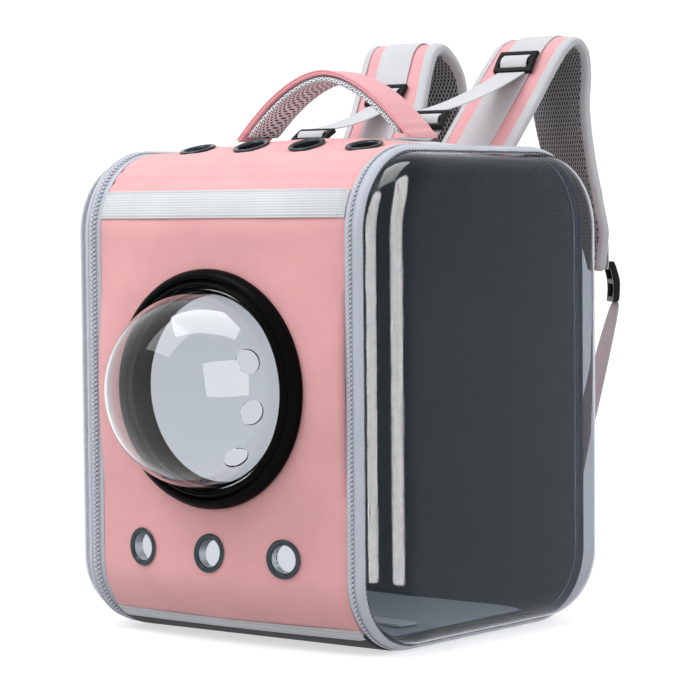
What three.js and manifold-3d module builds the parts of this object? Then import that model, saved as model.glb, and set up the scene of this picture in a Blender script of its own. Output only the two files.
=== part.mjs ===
// Bubble pet carrier backpack: a padded fabric band with a clear dome, two clear side trays that zip on,
// a carry handle and a pair of shoulder straps.
// Millimetres, +Z up. X runs to the right as seen from the front, -Y is the front, +Y the back.
// The origin is the centre of the flat base.
import * as THREE from 'three';
import { mergeVertices } from 'three/addons/utils/BufferGeometryUtils.js';
import Module from 'manifold-3d';

const wasm = await Module();
wasm.setup();

// Clearance between touching pieces
const gap = 0.3;

// Body, measured at the seams
const seamWidth = 307;
const bodyDepth = 319;
const seamHeight = 416;
const topCornerRadius = 69;
const bottomCornerRadius = 65;
const panelThickness = 6;
const liningThickness = 1.5;
const frontCrown = 18;
const frontFade = { top: 6, bottom: 2 };
const topCrown = 14;
const topCrownReach = 106;
const backCrown = 6;
const panelEdgeLevel = 2;
const baseEdgeHeight = 17.5;

// Zip strip beside each seam
const zipZone = 18.6;
const tapeThickness = 1.2;
const tapeWidth = 11.6;
const tapeRise = 3;
const tapeSink = 1;
const coilWidth = 5.6;
const coilThickness = 1.6;
const bindingThickness = 4.8;
const bindingSink = 0.9;

// Clear side tray
const trayBulge = 24;
const trayThickness = 1.2;
const trayFlange = 6;
const trayEdge = { front: 36, back: 22, top: 24, bottom: 26 };

// Dome and its ring
const domeHeight = 218;
const domeRadius = 84;
const domeThickness = 1.6;
const domeCentreLevel = 20;
const ringRadius = 101;
const ringLip = 86;
const ringCollar = 80;
const ringSeatLevel = 9;
const ringFrontLevel = 27;
const ringSeatBlend = 34;
const ventRadius = 10.5;
const ventDepth = 24;
const vents = [
  { turn: 68, lift: 19 },
  { turn: 69, lift: -10 },
  { turn: 64, lift: -39 },
];

// Eyelets
const eyeletRadius = 16.5;
const eyeletBore = 10.8;
const eyeletHeight = 3;
const frontEyelets = { spacing: 78, height: 80, count: 3 };
const topEyelets = { spacing: 62, setback: 79, count: 4 };

// Webbing trims on the band
const webThickness = 1.2;
const frontWeb = { low: 361, high: 384 };
const baseWeb = { low: 13.5, high: 22 };

// Carry handle
const handleSpan = 186;
const handleRise = 54.5;
const handleArch = 1.8;
const handleWidth = 42;
const handleThickness = 8;
const handleLiningWidth = 34;
const handleLiningThickness = 3;
const patchWidth = 46;
const patchStart = 78;

// Shoulder straps. Rows are shares: how far back of the back seam and above the top seam the centre
// line runs, in strap spans, then its distance from the middle and its width. The turn, in degrees,
// brings the outer edge forward.
const strapThickness = 10;
const strapSpan = 211;
const strapSide = 78;
const strapHalfWidth = 40;
const strapRows = [
  { back: -0.168, rise: -0.009, side: 0.744, width: 1, turn: 0 },
  { back: -0.102, rise: 0.066, side: 0.756, width: 1.025, turn: 0 },
  { back: 0.002, rise: 0.209, side: 0.821, width: 1.025, turn: 0 },
  { back: 0.116, rise: 0.384, side: 0.923, width: 1, turn: 0 },
  { back: 0.182, rise: 0.464, side: 0.974, width: 1, turn: 0 },
  { back: 0.244, rise: 0.488, side: 1, width: 1, turn: 3 },
  { back: 0.31, rise: 0.455, side: 1.013, width: 1, turn: 6 },
  { back: 0.367, rise: 0.36, side: 1, width: 1, turn: 13 },
  { back: 0.377, rise: 0.209, side: 1, width: 1, turn: 18 },
  { back: 0.386, rise: 0.019, side: 1.077, width: 0.975, turn: 21 },
  { back: 0.41, rise: -0.171, side: 1.192, width: 0.925, turn: 25 },
  { back: 0.443, rise: -0.346, side: 1.333, width: 0.775, turn: 34 },
  { back: 0.438, rise: -0.512, side: 1.423, width: 0.4, turn: 46 },
];
const strapRoute = strapRows.map((row) => ({
  y: bodyDepth / 2 + row.back * strapSpan,
  z: seamHeight + row.rise * strapSpan,
  side: row.side * strapSide,
  half: row.width * strapHalfWidth,
  turn: row.turn,
}));
const strapWebWidth = 38;
const strapWebShare = 0.9;

// Load lifters, from a buckle on the top panel to a ladder lock on the strap
const lifterWidth = 32;
const lifterSide = 72;
const lifterBuckle = { y: 52, length: 20, thickness: 5, bar: 4, overlap: 4 };
const lifterLock = { length: 24, thickness: 5, bar: 5 };
const lifterAnchorLength = 26;
const lifterSag = 7;

// How each lifter hangs: the left lock has slid down, and the right buckle is pulled up and inwards
const lifterPull = {
  left: { lockAlong: 0.186, tilt: 32, shift: 0, rise: 0 },
  right: { lockAlong: 0.245, tilt: 50, shift: 12, rise: 8 },
};

// Lower adjusters and the webbing down to the base corner
const lowerLock = { length: 38, width: 34, thickness: 6, bar: 5, drop: 11, lift: 3 };
const lowerWebWidth = 25;
const lowerAnchor = { side: 118, height: 42 };

// Inside
const matThickness = 8;
const matWidth = 262;
const matDepth = 186;
const leashTab = { length: 46, width: 25, thickness: 2 };
const leashClip = { length: 40, width: 14, thickness: 7 };

// Finishes
const finish = {
  pink: { color: '#e8a5aa', roughness: 0.85, metalness: 0 },
  charcoal: { color: '#3b4043', roughness: 0.9, metalness: 0 },
  mat: { color: '#6e7377', roughness: 0.9, metalness: 0 },
  tape: { color: '#b4b9c4', roughness: 0.8, metalness: 0 },
  web: { color: '#e1e5e8', roughness: 0.8, metalness: 0 },
  mesh: { color: '#8f9498', roughness: 0.9, metalness: 0 },
  clear: { color: '#dfe5e8', roughness: 0.05, metalness: 0 },
  ring: { color: '#101112', roughness: 0.2, metalness: 0 },
  plastic: { color: '#17181a', roughness: 0.4, metalness: 0 },
  eyelet: { color: '#3c4448', roughness: 0.25, metalness: 0.9 },
};

const half = seamWidth / 2;
const panelHalf = half - zipZone;
const frontSeam = -bodyDepth / 2;

// Outline of the body at the seams, seen from the side, as a path that starts under the front edge
const arcFront = bottomCornerRadius * Math.PI / 2;
const wallRun = seamHeight - topCornerRadius - bottomCornerRadius;
const arcTop = topCornerRadius * Math.PI / 2;
const topRun = bodyDepth - 2 * topCornerRadius;
const baseRun = bodyDepth - 2 * bottomCornerRadius;
const legs = [arcFront, wallRun, arcTop, topRun, arcTop, wallRun, arcFront, baseRun];
const loopLength = legs.reduce((sum, leg) => sum + leg, 0);

// Point and outward normal at a distance along the outline
function outline(distance) {
  let s = ((distance % loopLength) + loopLength) % loopLength;
  let leg = 0;
  while (leg < legs.length - 1 && s > legs[leg]) {
    s -= legs[leg];
    leg += 1;
  }
  const r2 = bottomCornerRadius;
  const r1 = topCornerRadius;
  const onArc = (cy, cz, r, start) => {
    const angle = start - s / r;
    const ny = Math.cos(angle);
    const nz = Math.sin(angle);
    return { y: cy + r * ny, z: cz + r * nz, ny, nz };
  };
  const front = frontSeam;
  const back = -frontSeam;
  switch (leg) {
    case 0: return onArc(front + r2, r2, r2, -Math.PI / 2);
    case 1: return { y: front, z: r2 + s, ny: -1, nz: 0 };
    case 2: return onArc(front + r1, seamHeight - r1, r1, Math.PI);
    case 3: return { y: front + r1 + s, z: seamHeight, ny: 0, nz: 1 };
    case 4: return onArc(back - r1, seamHeight - r1, r1, Math.PI / 2);
    case 5: return { y: back, z: seamHeight - r1 - s, ny: 1, nz: 0 };
    case 6: return onArc(back - r2, r2, r2, 0);
    default: return { y: back - r2 - s, z: 0, ny: 0, nz: -1 };
  }
}

// Distance along the outline of a height on the front
function frontDistance(height) {
  if (height < bottomCornerRadius) return bottomCornerRadius * Math.acos(1 - height / bottomCornerRadius);
  const cornerStart = seamHeight - topCornerRadius;
  if (height < cornerStart) return arcFront + height - bottomCornerRadius;
  return arcFront + wallRun + topCornerRadius * Math.asin((height - cornerStart) / topCornerRadius);
}

// Distance along the outline of a place on the flat top
const topDistance = (y) => arcFront + wallRun + arcTop + y + topRun / 2;

// Stations round the outline: more on the corners, few on the straights
const cornerSteps = 4;
const straightStep = 60;
const stationGap = 4;
let loopStops = [];
legs.reduce((start, length, leg) => {
  const steps = leg % 2 === 0 ? cornerSteps : Math.max(1, Math.round(length / straightStep));
  for (let i = 0; i < steps; i += 1) loopStops.push(start + (length * i) / steps);
  return start + length;
}, 0);
const bandFrom = frontDistance(baseEdgeHeight);
const bandTo = loopLength - baseRun - bandFrom;
loopStops = loopStops.filter((s) => Math.abs(s - bandFrom) > stationGap && Math.abs(s - bandTo) > stationGap);
loopStops.push(bandFrom, bandTo);
loopStops.sort((a, b) => a - b);

// The stations between two distances, which may lie before the start of the outline
function between(from, to) {
  const all = [-loopLength, 0].flatMap((turn) => loopStops.map((s) => s + turn));
  return [from, ...all.filter((s) => s > from + 2 * gap && s < to - 2 * gap), to];
}

const smooth = (low, high, value) => THREE.MathUtils.smoothstep(value, low, high);

// How much a level counts at a station: the base stays flat on the floor
const lift = (at) => 1 - Math.max(0, -at.nz) ** 2;

// Top of the zip strip, which sinks by this much under the base
const tapeLow = panelEdgeLevel - tapeSink;
const zipTop = tapeLow + tapeRise + gap + coilThickness;
const zipLevel = (at, level) => level - zipTop * (1 - lift(at));

// Level of the padded panel's outer face over the seam outline
function panelLevel(at, x) {
  const front = Math.max(0, -at.ny) ** (at.nz > 0 ? frontFade.top : frontFade.bottom);
  const back = Math.max(0, at.ny) ** 2;
  const top = Math.max(0, at.nz) ** 2 * Math.max(0, 1 - (at.y / topCrownReach) ** 2);
  const crown = Math.max(panelEdgeLevel, frontCrown * front + topCrown * top + backCrown * back);
  const share = Math.max(0, 1 - (x / panelHalf) ** 2);
  let level = panelEdgeLevel + (crown - panelEdgeLevel) * share;
  if (at.ny < 0) {
    const reach = Math.hypot(x, at.z - domeHeight);
    const free = smooth(ringRadius + 2, ringRadius + ringSeatBlend, reach);
    level = ringSeatLevel + (level - ringSeatLevel) * free;
  }
  return level * lift(at);
}

const onBody = (distance, x, level) => {
  const at = outline(distance);
  return new THREE.Vector3(x, at.y + at.ny * level, at.z + at.nz * level);
};

// Point over the panel's outer face
const onPanel = (distance, x, level) => onBody(distance, x, panelLevel(outline(distance), x) + level);

// Welds a geometry's vertices, drops its empty triangles and turns its faces outward
function weld(geometry) {
  const bare = geometry.clone();
  for (const name of Object.keys(bare.attributes)) {
    if (name !== 'position') bare.deleteAttribute(name);
  }
  const merged = mergeVertices(bare, 1e-3);
  const position = merged.attributes.position;
  const index = [];
  const a = new THREE.Vector3();
  const b = new THREE.Vector3();
  const c = new THREE.Vector3();
  let volume = 0;
  for (let i = 0; i < merged.index.count; i += 3) {
    const [p, q, r] = [0, 1, 2].map((k) => merged.index.getX(i + k));
    if (p !== q && q !== r && r !== p) {
      index.push(p, q, r);
      a.fromBufferAttribute(position, p);
      b.fromBufferAttribute(position, q);
      c.fromBufferAttribute(position, r);
      volume += a.dot(b.cross(c));
    }
  }
  if (volume < 0) index.reverse();
  merged.setIndex(index);
  merged.computeVertexNormals();
  return merged;
}

// Moves each vertex of a geometry to the place that a function gives for its uv and its position
function mapped(geometry, place) {
  const position = geometry.attributes.position;
  const uv = geometry.attributes.uv;
  const from = new THREE.Vector3();
  for (let i = 0; i < position.count; i += 1) {
    from.fromBufferAttribute(position, i);
    const to = place(uv.getX(i), uv.getY(i), from);
    position.setXYZ(i, to.x, to.y, to.z);
  }
  return weld(geometry);
}

// A closed ring round the body with a section given as x and level points
function bodyRing(section, side) {
  const stops = [...loopStops, loopLength];
  const steps = stops.length - 1;
  const ring = new THREE.TorusGeometry(2, 1, section.length, steps);
  return mapped(ring, (u, v) => {
    const [x, level] = section[Math.round(v * section.length) % section.length];
    const distance = stops[Math.round(u * steps)];
    return onBody(distance, side * x, zipLevel(outline(distance), level));
  });
}

// A wall between two skins over a grid of rows and columns, whose rows may close on themselves
function wall(rows, columns, closed, place) {
  const rowCount = closed ? rows : rows + 1;
  const points = [];
  for (const skin of [0, 1]) {
    for (let i = 0; i < rowCount; i += 1) {
      for (let j = 0; j <= columns; j += 1) points.push(place(i, j, skin));
    }
  }
  const at = (skin, i, j) => (skin * rowCount + (i % rowCount)) * (columns + 1) + j;
  const index = [];
  const quad = (a, b, c, d) => index.push(a, b, d, b, c, d);
  const mirrored = (a, b, c, d) => index.push(a, d, b, b, d, c);
  for (let i = 0; i < rows; i += 1) {
    for (let j = 0; j < columns; j += 1) {
      quad(at(0, i, j), at(0, i, j + 1), at(0, i + 1, j + 1), at(0, i + 1, j));
      mirrored(at(1, i, j), at(1, i, j + 1), at(1, i + 1, j + 1), at(1, i + 1, j));
    }
    quad(at(1, i, 0), at(0, i, 0), at(0, i + 1, 0), at(1, i + 1, 0));
    quad(at(0, i, columns), at(1, i, columns), at(1, i + 1, columns), at(0, i + 1, columns));
  }
  for (let j = 0; j < columns && !closed; j += 1) {
    quad(at(0, 0, j), at(1, 0, j), at(1, 0, j + 1), at(0, 0, j + 1));
    quad(at(0, rows, j + 1), at(1, rows, j + 1), at(1, rows, j), at(0, rows, j));
  }
  const geometry = new THREE.BufferGeometry().setFromPoints(points);
  geometry.setIndex(index);
  return weld(geometry);
}

// A slab over the body: stations along the outline, widths in x, and two level functions
function bodySlab(stops, xs, outer, inner) {
  return wall(stops.length - 1, xs.length - 1, false, (i, j, skin) => (
    onBody(stops[i], xs[j], (skin === 0 ? outer : inner)(stops[i], xs[j]))
  ));
}

function across(limit, count) {
  return Array.from({ length: count + 1 }, (unused, i) => limit * ((2 * i) / count - 1));
}

// Solids for cuts
function solid(geometry) {
  const welded = weld(geometry);
  const vertProperties = new Float32Array(welded.attributes.position.array);
  const triVerts = new Uint32Array(welded.index.array);
  return new wasm.Manifold(new wasm.Mesh({ numProp: 3, vertProperties, triVerts }));
}

function geometryOf(manifold) {
  const mesh = manifold.getMesh();
  const geometry = new THREE.BufferGeometry();
  geometry.setAttribute('position', new THREE.BufferAttribute(new Float32Array(mesh.vertProperties), 3));
  geometry.setIndex(Array.from(mesh.triVerts));
  geometry.computeVertexNormals();
  return geometry;
}

function cut(geometry, cutters) {
  return geometryOf(cutters.reduce((body, cutter) => body.subtract(solid(cutter)), solid(geometry)));
}

// Turns a geometry whose axis is Y to point along a direction from a place
function aim(geometry, place, direction) {
  const upright = new THREE.Vector3(0, 1, 0);
  const turn = new THREE.Quaternion().setFromUnitVectors(upright, direction.clone().normalize());
  const placed = geometry.clone();
  placed.applyQuaternion(turn);
  placed.translate(place.x, place.y, place.z);
  return placed;
}

const model = new THREE.Group();

function add(name, geometry, look) {
  const mesh = new THREE.Mesh(geometry, new THREE.MeshStandardMaterial(finish[look]));
  mesh.name = name;
  if (look === 'clear') {
    mesh.material.transparent = true;
    mesh.material.opacity = 0.3;
  }
  model.add(mesh);
}

// Places of the eyelets: point on the panel's face and outward direction
function seatOn(distance, x) {
  const step = 6;
  const along = onPanel(distance + step, x, 0).sub(onPanel(distance - step, x, 0));
  const sideways = onPanel(distance, x + step, 0).sub(onPanel(distance, x - step, 0));
  return { place: onPanel(distance, x, 0), direction: sideways.cross(along).negate().normalize() };
}

function eyeletRow(row, distance) {
  return Array.from({ length: row.count }, (unused, i) => {
    const seat = seatOn(distance, row.spacing * (i - (row.count - 1) / 2));
    if (seat.direction.y * -1 + seat.direction.z < 0) seat.direction.negate();
    return seat;
  });
}

const frontSeats = eyeletRow(frontEyelets, frontDistance(frontEyelets.height));
const topSeats = eyeletRow(topEyelets, topDistance(-topEyelets.setback));
const eyeletSeats = [...frontSeats, ...topSeats];

// Cutters for the dome opening and the eyelets' shanks
const eyeletShank = eyeletBore + 1.4;
const drillLength = 4 * (panelThickness + liningThickness) + 30;
const openings = eyeletSeats.map(({ place, direction }) => (
  aim(new THREE.CylinderGeometry(eyeletShank + gap, eyeletShank + gap, drillLength, 12), place, direction)
));
const collarRadius = ringLip - 2;
openings.push(aim(
  new THREE.CylinderGeometry(collarRadius + gap, collarRadius + gap, 90, 32),
  new THREE.Vector3(0, frontSeam, domeHeight),
  new THREE.Vector3(0, 1, 0),
));

// Padded fabric band: front, top and back in one, pressed flat under the dome's ring
const panelCells = 6;
const seatDepth = 40;
const ringSeat = aim(
  new THREE.CylinderGeometry(ringRadius + gap, ringRadius + gap, seatDepth, 32),
  new THREE.Vector3(0, frontSeam - ringSeatLevel - seatDepth / 2, domeHeight),
  new THREE.Vector3(0, 1, 0),
);
const panelOuter = (distance, x) => panelLevel(outline(distance), x);
const panelInner = (distance, x) => panelOuter(distance, x) - panelThickness;
const bandSlab = bodySlab(between(bandFrom, bandTo), across(panelHalf, panelCells), panelOuter, panelInner);
add('body_band', cut(bandSlab, [...openings, ringSeat]), 'pink');

// Base panel, turned up to meet the band
const baseStops = between(bandTo + gap - loopLength, bandFrom - gap);
add('base_panel', bodySlab(baseStops, across(panelHalf, panelCells), panelOuter, panelInner), 'charcoal');

// Dark lining inside the band, all round
const liningHalf = half - trayFlange - 2 * gap;
const liningXs = [-liningHalf, ...across(panelHalf, panelCells), liningHalf];
const liningGeometry = wall(loopStops.length, liningXs.length - 1, true, (i, j, skin) => {
  const x = liningXs[j];
  const at = outline(loopStops[i]);
  const face = Math.abs(x) > panelHalf ? zipLevel(at, panelEdgeLevel) : panelLevel(at, x);
  return onBody(loopStops[i], x, face - panelThickness - gap - skin * liningThickness);
});
add('lining', cut(liningGeometry, openings), 'charcoal');

// Zip strips, coils, bindings and clear trays, one of each on both sides
const tapeStart = panelHalf + gap;
const tapeEnd = tapeStart + tapeWidth;
const coilMiddle = tapeEnd - coilWidth / 2 - 0.6;
const tapeLevel = (x) => tapeLow + (tapeRise * (x - tapeStart)) / tapeWidth;
const bindingStart = tapeEnd + gap;
const bindingTop = tapeLow + tapeRise + 0.4;
const bindingMiddle = (bindingStart + half) / 2;
const flangeLevel = -bindingSink - gap;
const tapeSection = [
  [tapeStart, tapeLow],
  [tapeEnd, tapeLow + tapeRise],
  [tapeEnd, tapeLow + tapeRise - tapeThickness],
  [tapeStart, tapeLow - tapeThickness],
];
const coilStart = coilMiddle - coilWidth / 2;
const coilEnd = coilMiddle + coilWidth / 2;
const coilSection = [
  [coilStart, tapeLevel(coilStart) + gap],
  [coilMiddle - coilWidth / 4, tapeLevel(coilMiddle) + gap + coilThickness],
  [coilMiddle + coilWidth / 4, tapeLevel(coilMiddle) + gap + coilThickness],
  [coilEnd, tapeLevel(coilEnd) + gap],
];
const bindingSection = [
  [bindingStart, -bindingSink],
  [bindingStart, bindingTop],
  [bindingMiddle, -bindingSink + bindingThickness],
  [half - 0.8, bindingTop * 0.45],
  [half, -bindingSink],
];

// How far the tray's edge turns in at a station
function trayInset(at) {
  const across2 = at.ny ** 2;
  const along2 = at.nz ** 2;
  const wall = at.ny < 0 ? trayEdge.front : trayEdge.back;
  const cap = at.nz < 0 ? trayEdge.bottom : trayEdge.top;
  return wall * across2 + cap * along2;
}

// One skin of the tray, as inset shares and x: the flange, the curved edge and the flat face
function trayProfile(depth) {
  const points = [{ turn: 0, x: bindingStart + gap }];
  const steps = 4;
  for (let i = 0; i <= steps; i += 1) {
    const angle = (Math.PI / 2) * (i / steps);
    points.push({ turn: 1 - Math.cos(angle), x: half + 2 * gap + (trayBulge - depth) * Math.sin(angle) });
  }
  points.push({ turn: 1, x: half + 2 * gap + trayBulge - depth, centre: true });
  return points.map((point) => ({ ...point, depth }));
}

function sideTray(side) {
  const stops = [...loopStops, loopLength];
  const steps = stops.length - 1;
  const profile = [...trayProfile(0).reverse(), ...trayProfile(trayThickness)];
  const rows = profile.length - 1;
  const points = profile.map((point, i) => new THREE.Vector2(point.centre ? 0 : 1, i));
  const centre = new THREE.Vector3(0, 0, seamHeight / 2);
  return mapped(new THREE.LatheGeometry(points, steps), (u, v) => {
    const row = profile[Math.round(v * rows)];
    const distance = stops[Math.round(u * steps)];
    if (row.centre) return centre.clone().setX(side * row.x);
    const at = outline(distance);
    const inset = -flangeLevel + row.depth + row.turn * (trayInset(at) - row.depth);
    return onBody(distance, side * row.x, zipLevel(at, -inset));
  });
}

for (const [word, side] of [['left', -1], ['right', 1]]) {
  add(`zip_tape_${word}`, bodyRing(tapeSection, side), 'tape');
  add(`zip_coil_${word}`, bodyRing(coilSection, side), 'tape');
  add(`window_binding_${word}`, bodyRing(bindingSection, side), 'tape');
  add(`side_window_${word}`, sideTray(side), 'clear');
}

// Dome ring: turned about the front-back axis, with a collar through the band
const ringPoints = [
  [ringCollar, ringSeatLevel - panelThickness - liningThickness - 2],
  [collarRadius, ringSeatLevel - panelThickness - liningThickness - 2],
  [collarRadius, ringSeatLevel + gap],
  [ringRadius - 5, ringSeatLevel + gap],
  [ringRadius, ringSeatLevel + 6],
  [ringRadius - 2, ringFrontLevel - 5],
  [ringRadius - 7, ringFrontLevel - 2],
  [ringLip + 2, ringFrontLevel],
  [ringLip, ringFrontLevel - 2],
  [ringLip, domeCentreLevel - gap - domeThickness],
  [ringCollar, domeCentreLevel - gap - domeThickness],
].map(([r, level]) => new THREE.Vector2(r, level));
ringPoints.push(ringPoints[0].clone());
const forward = new THREE.Vector3(0, -1, 0);
const domeAxis = new THREE.Vector3(0, frontSeam, domeHeight);
add('dome_ring', weld(aim(new THREE.LatheGeometry(ringPoints, 32), domeAxis, forward)), 'ring');

// Dome: a half sphere with a small flange that sits in the ring's lip, with vents on its right side
const domeSteps = 6;
function domeSkin(radius, drop) {
  return Array.from({ length: domeSteps + 1 }, (unused, i) => {
    const angle = (Math.PI / 2) * (i / domeSteps);
    const r = i === domeSteps ? 0 : radius * Math.cos(angle);
    return new THREE.Vector2(r, domeCentreLevel - drop * Math.cos(angle) + radius * Math.sin(angle));
  });
}
const domePoints = [
  ...domeSkin(domeRadius, 0).reverse(),
  ...domeSkin(domeRadius - domeThickness, domeThickness),
];
const domeShell = new THREE.LatheGeometry(domePoints, 24);
const domeCentre = domeAxis.clone().addScaledVector(forward, domeCentreLevel);
const ventCutters = vents.map((vent) => {
  const turn = THREE.MathUtils.degToRad(vent.turn);
  const rise = THREE.MathUtils.degToRad(vent.lift);
  const flat = Math.cos(rise);
  const out = new THREE.Vector3(Math.sin(turn) * flat, -Math.cos(turn) * flat, Math.sin(rise));
  const centre = domeCentre.clone().addScaledVector(out, domeRadius);
  return aim(new THREE.CylinderGeometry(ventRadius, ventRadius, ventDepth, 12), centre, out);
});
add('dome', cut(aim(domeShell, domeAxis, forward), ventCutters), 'clear');

// Eyelets: a rolled rim on the outside and a shank through the panel
function eyelet() {
  const shankEnd = -(panelThickness + liningThickness + 1);
  const profile = [
    [eyeletBore, shankEnd],
    [eyeletShank, shankEnd],
    [eyeletShank, gap + 0.7],
    [eyeletRadius, gap + 0.7],
    [eyeletRadius - 1.6, gap + eyeletHeight],
    [eyeletShank, gap + eyeletHeight],
    [eyeletBore, gap + 1],
  ].map(([r, level]) => new THREE.Vector2(r, level));
  profile.push(profile[0].clone());
  return new THREE.LatheGeometry(profile, 12);
}

for (const [row, seats] of [['front', frontSeats], ['top', topSeats]]) {
  seats.forEach((seat, i) => {
    add(`eyelet_${row}_${i + 1}`, weld(aim(eyelet(), seat.place, seat.direction)), 'eyelet');
  });
}

// Webbing across the front and along the base edge, whose distances are found by halving
const halvings = 24;
function distanceAt(height, x) {
  let low = frontDistance(0);
  let high = frontDistance(seamHeight);
  for (let i = 0; i < halvings; i += 1) {
    const middle = (low + high) / 2;
    const isBelow = onPanel(middle, x, gap).z < height;
    if (isBelow) low = middle;
    else high = middle;
  }
  return (low + high) / 2;
}

// Webbing across the band between two heights
function webAcross(low, high, rows) {
  const xs = across(panelHalf - gap, panelCells);
  return wall(rows, xs.length - 1, false, (i, j, skin) => {
    const distance = distanceAt(low + ((high - low) * i) / rows, xs[j]);
    return onPanel(distance, xs[j], gap + (skin === 0 ? webThickness : 0));
  });
}
add('front_web', webAcross(frontWeb.low, frontWeb.high, 3), 'web');
add('base_web', webAcross(baseWeb.low, baseWeb.high, 2), 'web');

// A strap along a route of centre points, with a width direction and shares of its thickness
function strap(route, steps, low, high, shares = (at) => [-at.half, 0, at.half]) {
  const cells = shares(route(0)).length - 1;
  return wall(steps, cells, false, (i, j, skin) => {
    const at = route(i / steps);
    const sideways = shares(at)[j];
    const level = skin === 0 ? high : low;
    return at.centre.clone().addScaledVector(at.wide, sideways).addScaledVector(at.out, level);
  });
}

// Carry handle: an arch from foot to foot over the top panel, measured along its outer face
const handleDepth = handleThickness + gap + handleLiningThickness;
const footAngle = Math.atan((handleArch * handleRise) / (handleSpan / 2));
const footInner = handleSpan / 2 - handleDepth * Math.sin(footAngle);
const patchTop = onPanel(topDistance(0), footInner, gap + webThickness).z;
const footLevel = patchTop + gap + handleDepth * Math.cos(footAngle);
const handleRoute = (halfWidth) => (t) => {
  const share = 2 * t - 1;
  const reach = Math.abs(share);
  const height = footLevel + handleRise * (1 - reach ** handleArch);
  const slope = (Math.sign(share) * handleArch * handleRise * reach ** (handleArch - 1)) / (handleSpan / 2);
  return {
    centre: new THREE.Vector3((share * handleSpan) / 2, 0, height),
    out: new THREE.Vector3(slope, 0, 1).normalize(),
    wide: new THREE.Vector3(0, 1, 0),
    half: halfWidth,
  };
};
const handleSteps = 16;
const handleCover = strap(handleRoute(handleWidth / 2), handleSteps, -handleThickness, 0);
add('carry_handle', handleCover, 'pink');
const underRoute = handleRoute(handleLiningWidth / 2);
const handleUnder = strap(underRoute, handleSteps, -handleDepth, -handleThickness - gap);
add('handle_lining', handleUnder, 'mesh');

function patch(side) {
  const patchEnd = panelHalf - gap;
  const xs = [patchStart, (patchStart + patchEnd) / 2, patchEnd].map((x) => side * x);
  if (side < 0) xs.reverse();
  const stops = [topDistance(-patchWidth / 2), topDistance(0), topDistance(patchWidth / 2)];
  const inner = (distance, x) => panelOuter(distance, x) + gap;
  const outer = (distance, x) => panelOuter(distance, x) + gap + webThickness;
  return bodySlab(stops, xs, outer, inner);
}
add('handle_patch_left', patch(-1), 'web');
add('handle_patch_right', patch(1), 'web');

// Shoulder straps along a smooth curve through the route's points
const strapPoints = strapRoute.map((row) => new THREE.Vector3(row.side, row.y, row.z));
const strapForms = strapRoute.map((row) => new THREE.Vector3(row.half, row.turn, 0));
const strapCurve = new THREE.CatmullRomCurve3(strapPoints);
const strapShape = new THREE.CatmullRomCurve3(strapForms);

function strapFrame(t, side) {
  const centre = strapCurve.getPoint(t);
  const tangent = strapCurve.getTangent(t);
  centre.x *= side;
  tangent.x *= side;
  const shape = strapShape.getPoint(t);
  const turn = THREE.MathUtils.degToRad(shape.y);
  const wide = new THREE.Vector3(side * Math.cos(turn), -Math.sin(turn), 0);
  const out = wide.clone().cross(tangent).multiplyScalar(side).normalize();
  const webHalf = Math.min(strapWebWidth / 2, shape.x * strapWebShare);
  return { centre, out, wide, half: shape.x, webHalf };
}

const strapSteps = 19;
function strapPiece(side, fromStep, toStep, low, high, shares) {
  const count = toStep - fromStep;
  return strap((t) => strapFrame((fromStep + count * t) / strapSteps, side), count, low, high, shares);
}
const padShares = (at) => [-at.half, -at.webHalf, 0, at.webHalf, at.half];
const webShares = (at) => [-at.webHalf, 0, at.webHalf];
const edgeShares = (at) => [-at.half, at.half];

// A ladder lock: a flat frame with two slots beside a middle bar
function ladderLock(width, length, thickness, bar) {
  const shape = new THREE.Shape();
  const w = width / 2 + bar;
  const l = length / 2;
  shape.moveTo(-w, -l).lineTo(w, -l).lineTo(w, l).lineTo(-w, l).closePath();
  for (const sign of [-1, 1]) {
    const slot = new THREE.Path();
    const near = sign * (bar / 2);
    const far = sign * (l - bar);
    slot.moveTo(-width / 2, near).lineTo(width / 2, near);
    slot.lineTo(width / 2, far).lineTo(-width / 2, far).closePath();
    shape.holes.push(slot);
  }
  const frame = new THREE.ExtrudeGeometry(shape, { depth: thickness, bevelEnabled: false });
  return frame.translate(0, 0, -thickness / 2);
}

// Sets a geometry made flat in x and y into a frame of across, along and out directions
function setInto(geometry, centre, acrossDirection, out) {
  const along = out.clone().cross(acrossDirection).normalize();
  const basis = new THREE.Matrix4().makeBasis(acrossDirection, along, out).setPosition(centre);
  return weld(geometry.clone().applyMatrix4(basis));
}

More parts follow.
